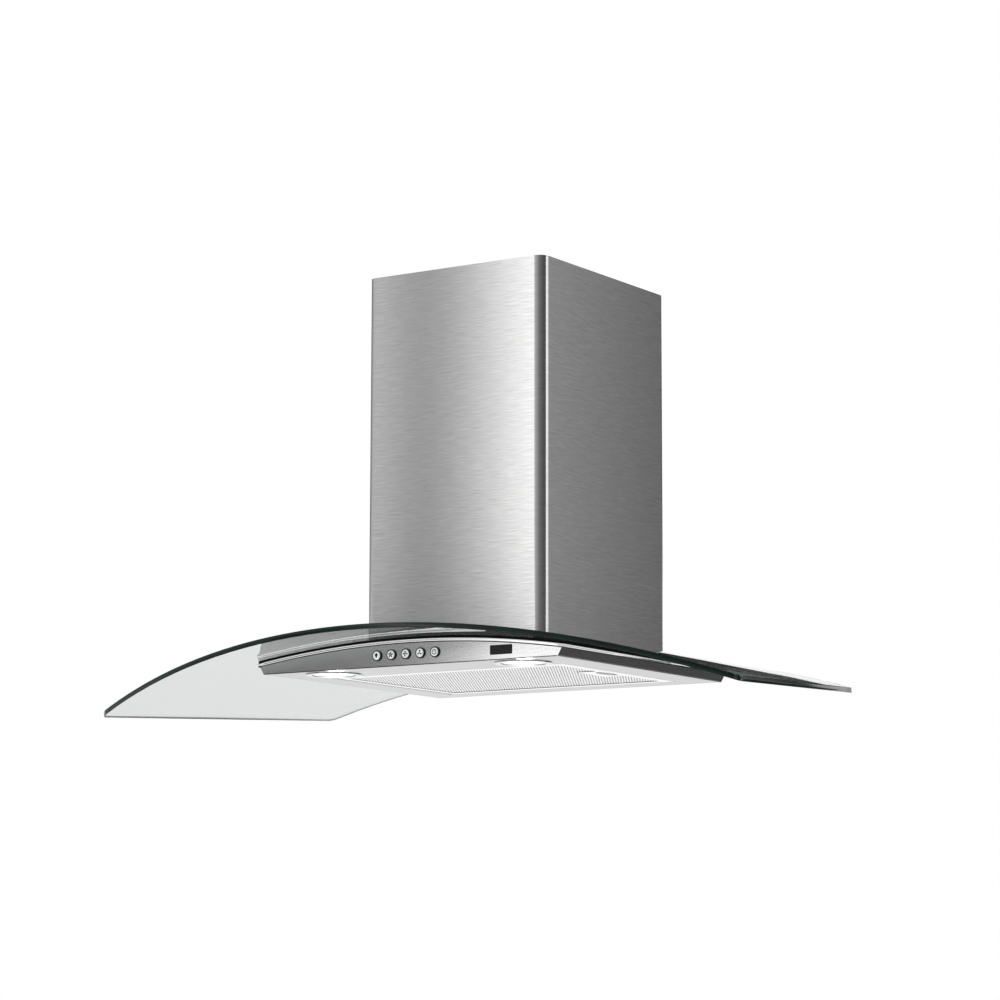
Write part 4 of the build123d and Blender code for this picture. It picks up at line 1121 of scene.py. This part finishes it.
# %% Places of the screws
top_low, top_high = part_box("box_top")
ring_low, ring_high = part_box("inlet_rings")
collar_low, collar_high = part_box("outlet_collar")
mount_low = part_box("motor_mount")[0]
fan_y, fan_z = (ring_low.y + ring_high.y) / 2, (ring_low.z + ring_high.z) / 2
collar_y = (collar_low.y + collar_high.y) / 2
rim_inset = 7 * MM
ring_screw_radius = 65 * MM
collar_screw_radius = 80 * MM
collar_flange = 1.5 * MM
spots = []
for x in (top_low.x + rim_inset, top_high.x - rim_inset):
    for y in (top_low.y + rim_inset, (top_low.y + top_high.y) / 2, top_high.y - rim_inset):
        spots.append(((x, y, top_high.z), (0, 0, 1)))
for degrees in range(45, 360, 90):
    c, s = around(degrees)
    on_collar = (collar_screw_radius * c, collar_y + collar_screw_radius * s)
    spots.append(((*on_collar, collar_low.z + collar_flange), (0, 0, 1)))
    on_ring = (fan_y + ring_screw_radius * c, fan_z + ring_screw_radius * s)
    spots.append(((ring_low.x, *on_ring), (-1, 0, 0)))
    spots.append(((ring_high.x, *on_ring), (1, 0, 0)))
for degrees in (90, 210, 330):
    c, s = around(degrees)
    on_mount = (mount_low.x, fan_y + ring_screw_radius * c, fan_z + ring_screw_radius * s)
    spots.append((on_mount, (-1, 0, 0)))

cloud = bpy.data.meshes.new("screw_places")
cloud.from_pydata([spot for spot, direction in spots], [], [])
directions = cloud.attributes.new("facing", "FLOAT_VECTOR", "POINT")
for i, (spot, direction) in enumerate(spots):
    directions.data[i].vector = direction
print(len(spots), "screws")

# %% Pan-head screws
run_tree("pan_head_screws", tree, {
    "Head diameter": 7 * MM, "Head height": 2.2 * MM, "Recess width": 1.1 * MM,
    "Material": screw_metal,
}, "hood", start=cloud)

# %% [markdown]
# ## Lit lamps
# Each lamp is a frosted polycarbonate lens with a small bright lamp above its middle, and both
# are on. One flat glow would look like a hole cut in the picture, so the glow falls off from the
# middle of the lens to its rim. The lenses mirror each other, so one distance, taken after the
# sign of X is dropped, serves both. A glowing surface alone throws too little light on the metal
# beside it, so a weak lamp hangs under each lens.

# %% Lamp lenses
glow_core, glow_rim = 3 * MM, 25 * MM
core_strength, rim_strength = 9.0, 0.12
lens_material, tree, shader = new_material("polycarbonate_frosted", {
    "Base Color": linear("#d4d4d2"), "Roughness": 0.4, "IOR": 1.58,
    "Emission Color": linear("#fffdf8"),
})
place = add_node(tree, "ShaderNodeTexCoord").outputs["Object"]
lens_low, lens_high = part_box("lamp_lens_right")
lens_middle = (lens_low + lens_high) / 2
mirrored = add_node(tree, "ShaderNodeVectorMath", {0: place}, operation="ABSOLUTE")
from_middle = add_node(
    tree, "ShaderNodeVectorMath",
    {0: mirrored, 1: (lens_middle.x, -lens_middle.y, abs(lens_middle.z))},
    operation="DISTANCE",
)
falloff = add_node(tree, "ShaderNodeMapRange", {
    "Value": from_middle.outputs["Value"], "From Min": glow_core, "From Max": glow_rim,
    "To Min": core_strength, "To Max": rim_strength,
}, interpolation_type="SMOOTHERSTEP")
fill(tree, shader, {"Emission Strength": falloff})
dress(lens_material, "lamp_lens_left", "lamp_lens_right")

# %% Light that the lamps throw on the metal round them
glow_drop = 18 * MM
glow_radius = 9 * MM
glow_power = 0.05
for side in (-1, 1):
    data = bpy.data.lights.new("lamp_glow", "POINT")
    data.shadow_soft_size, data.energy = glow_radius, glow_power
    lamp = put("lamp_glow", data)
    lamp.location = (side * lens_middle.x, lens_middle.y, lens_low.z - glow_drop)
    lamp.visible_camera = lamp.visible_transmission = False
print("two glow lamps,", round(1000 * glow_drop), "mm under the lenses")
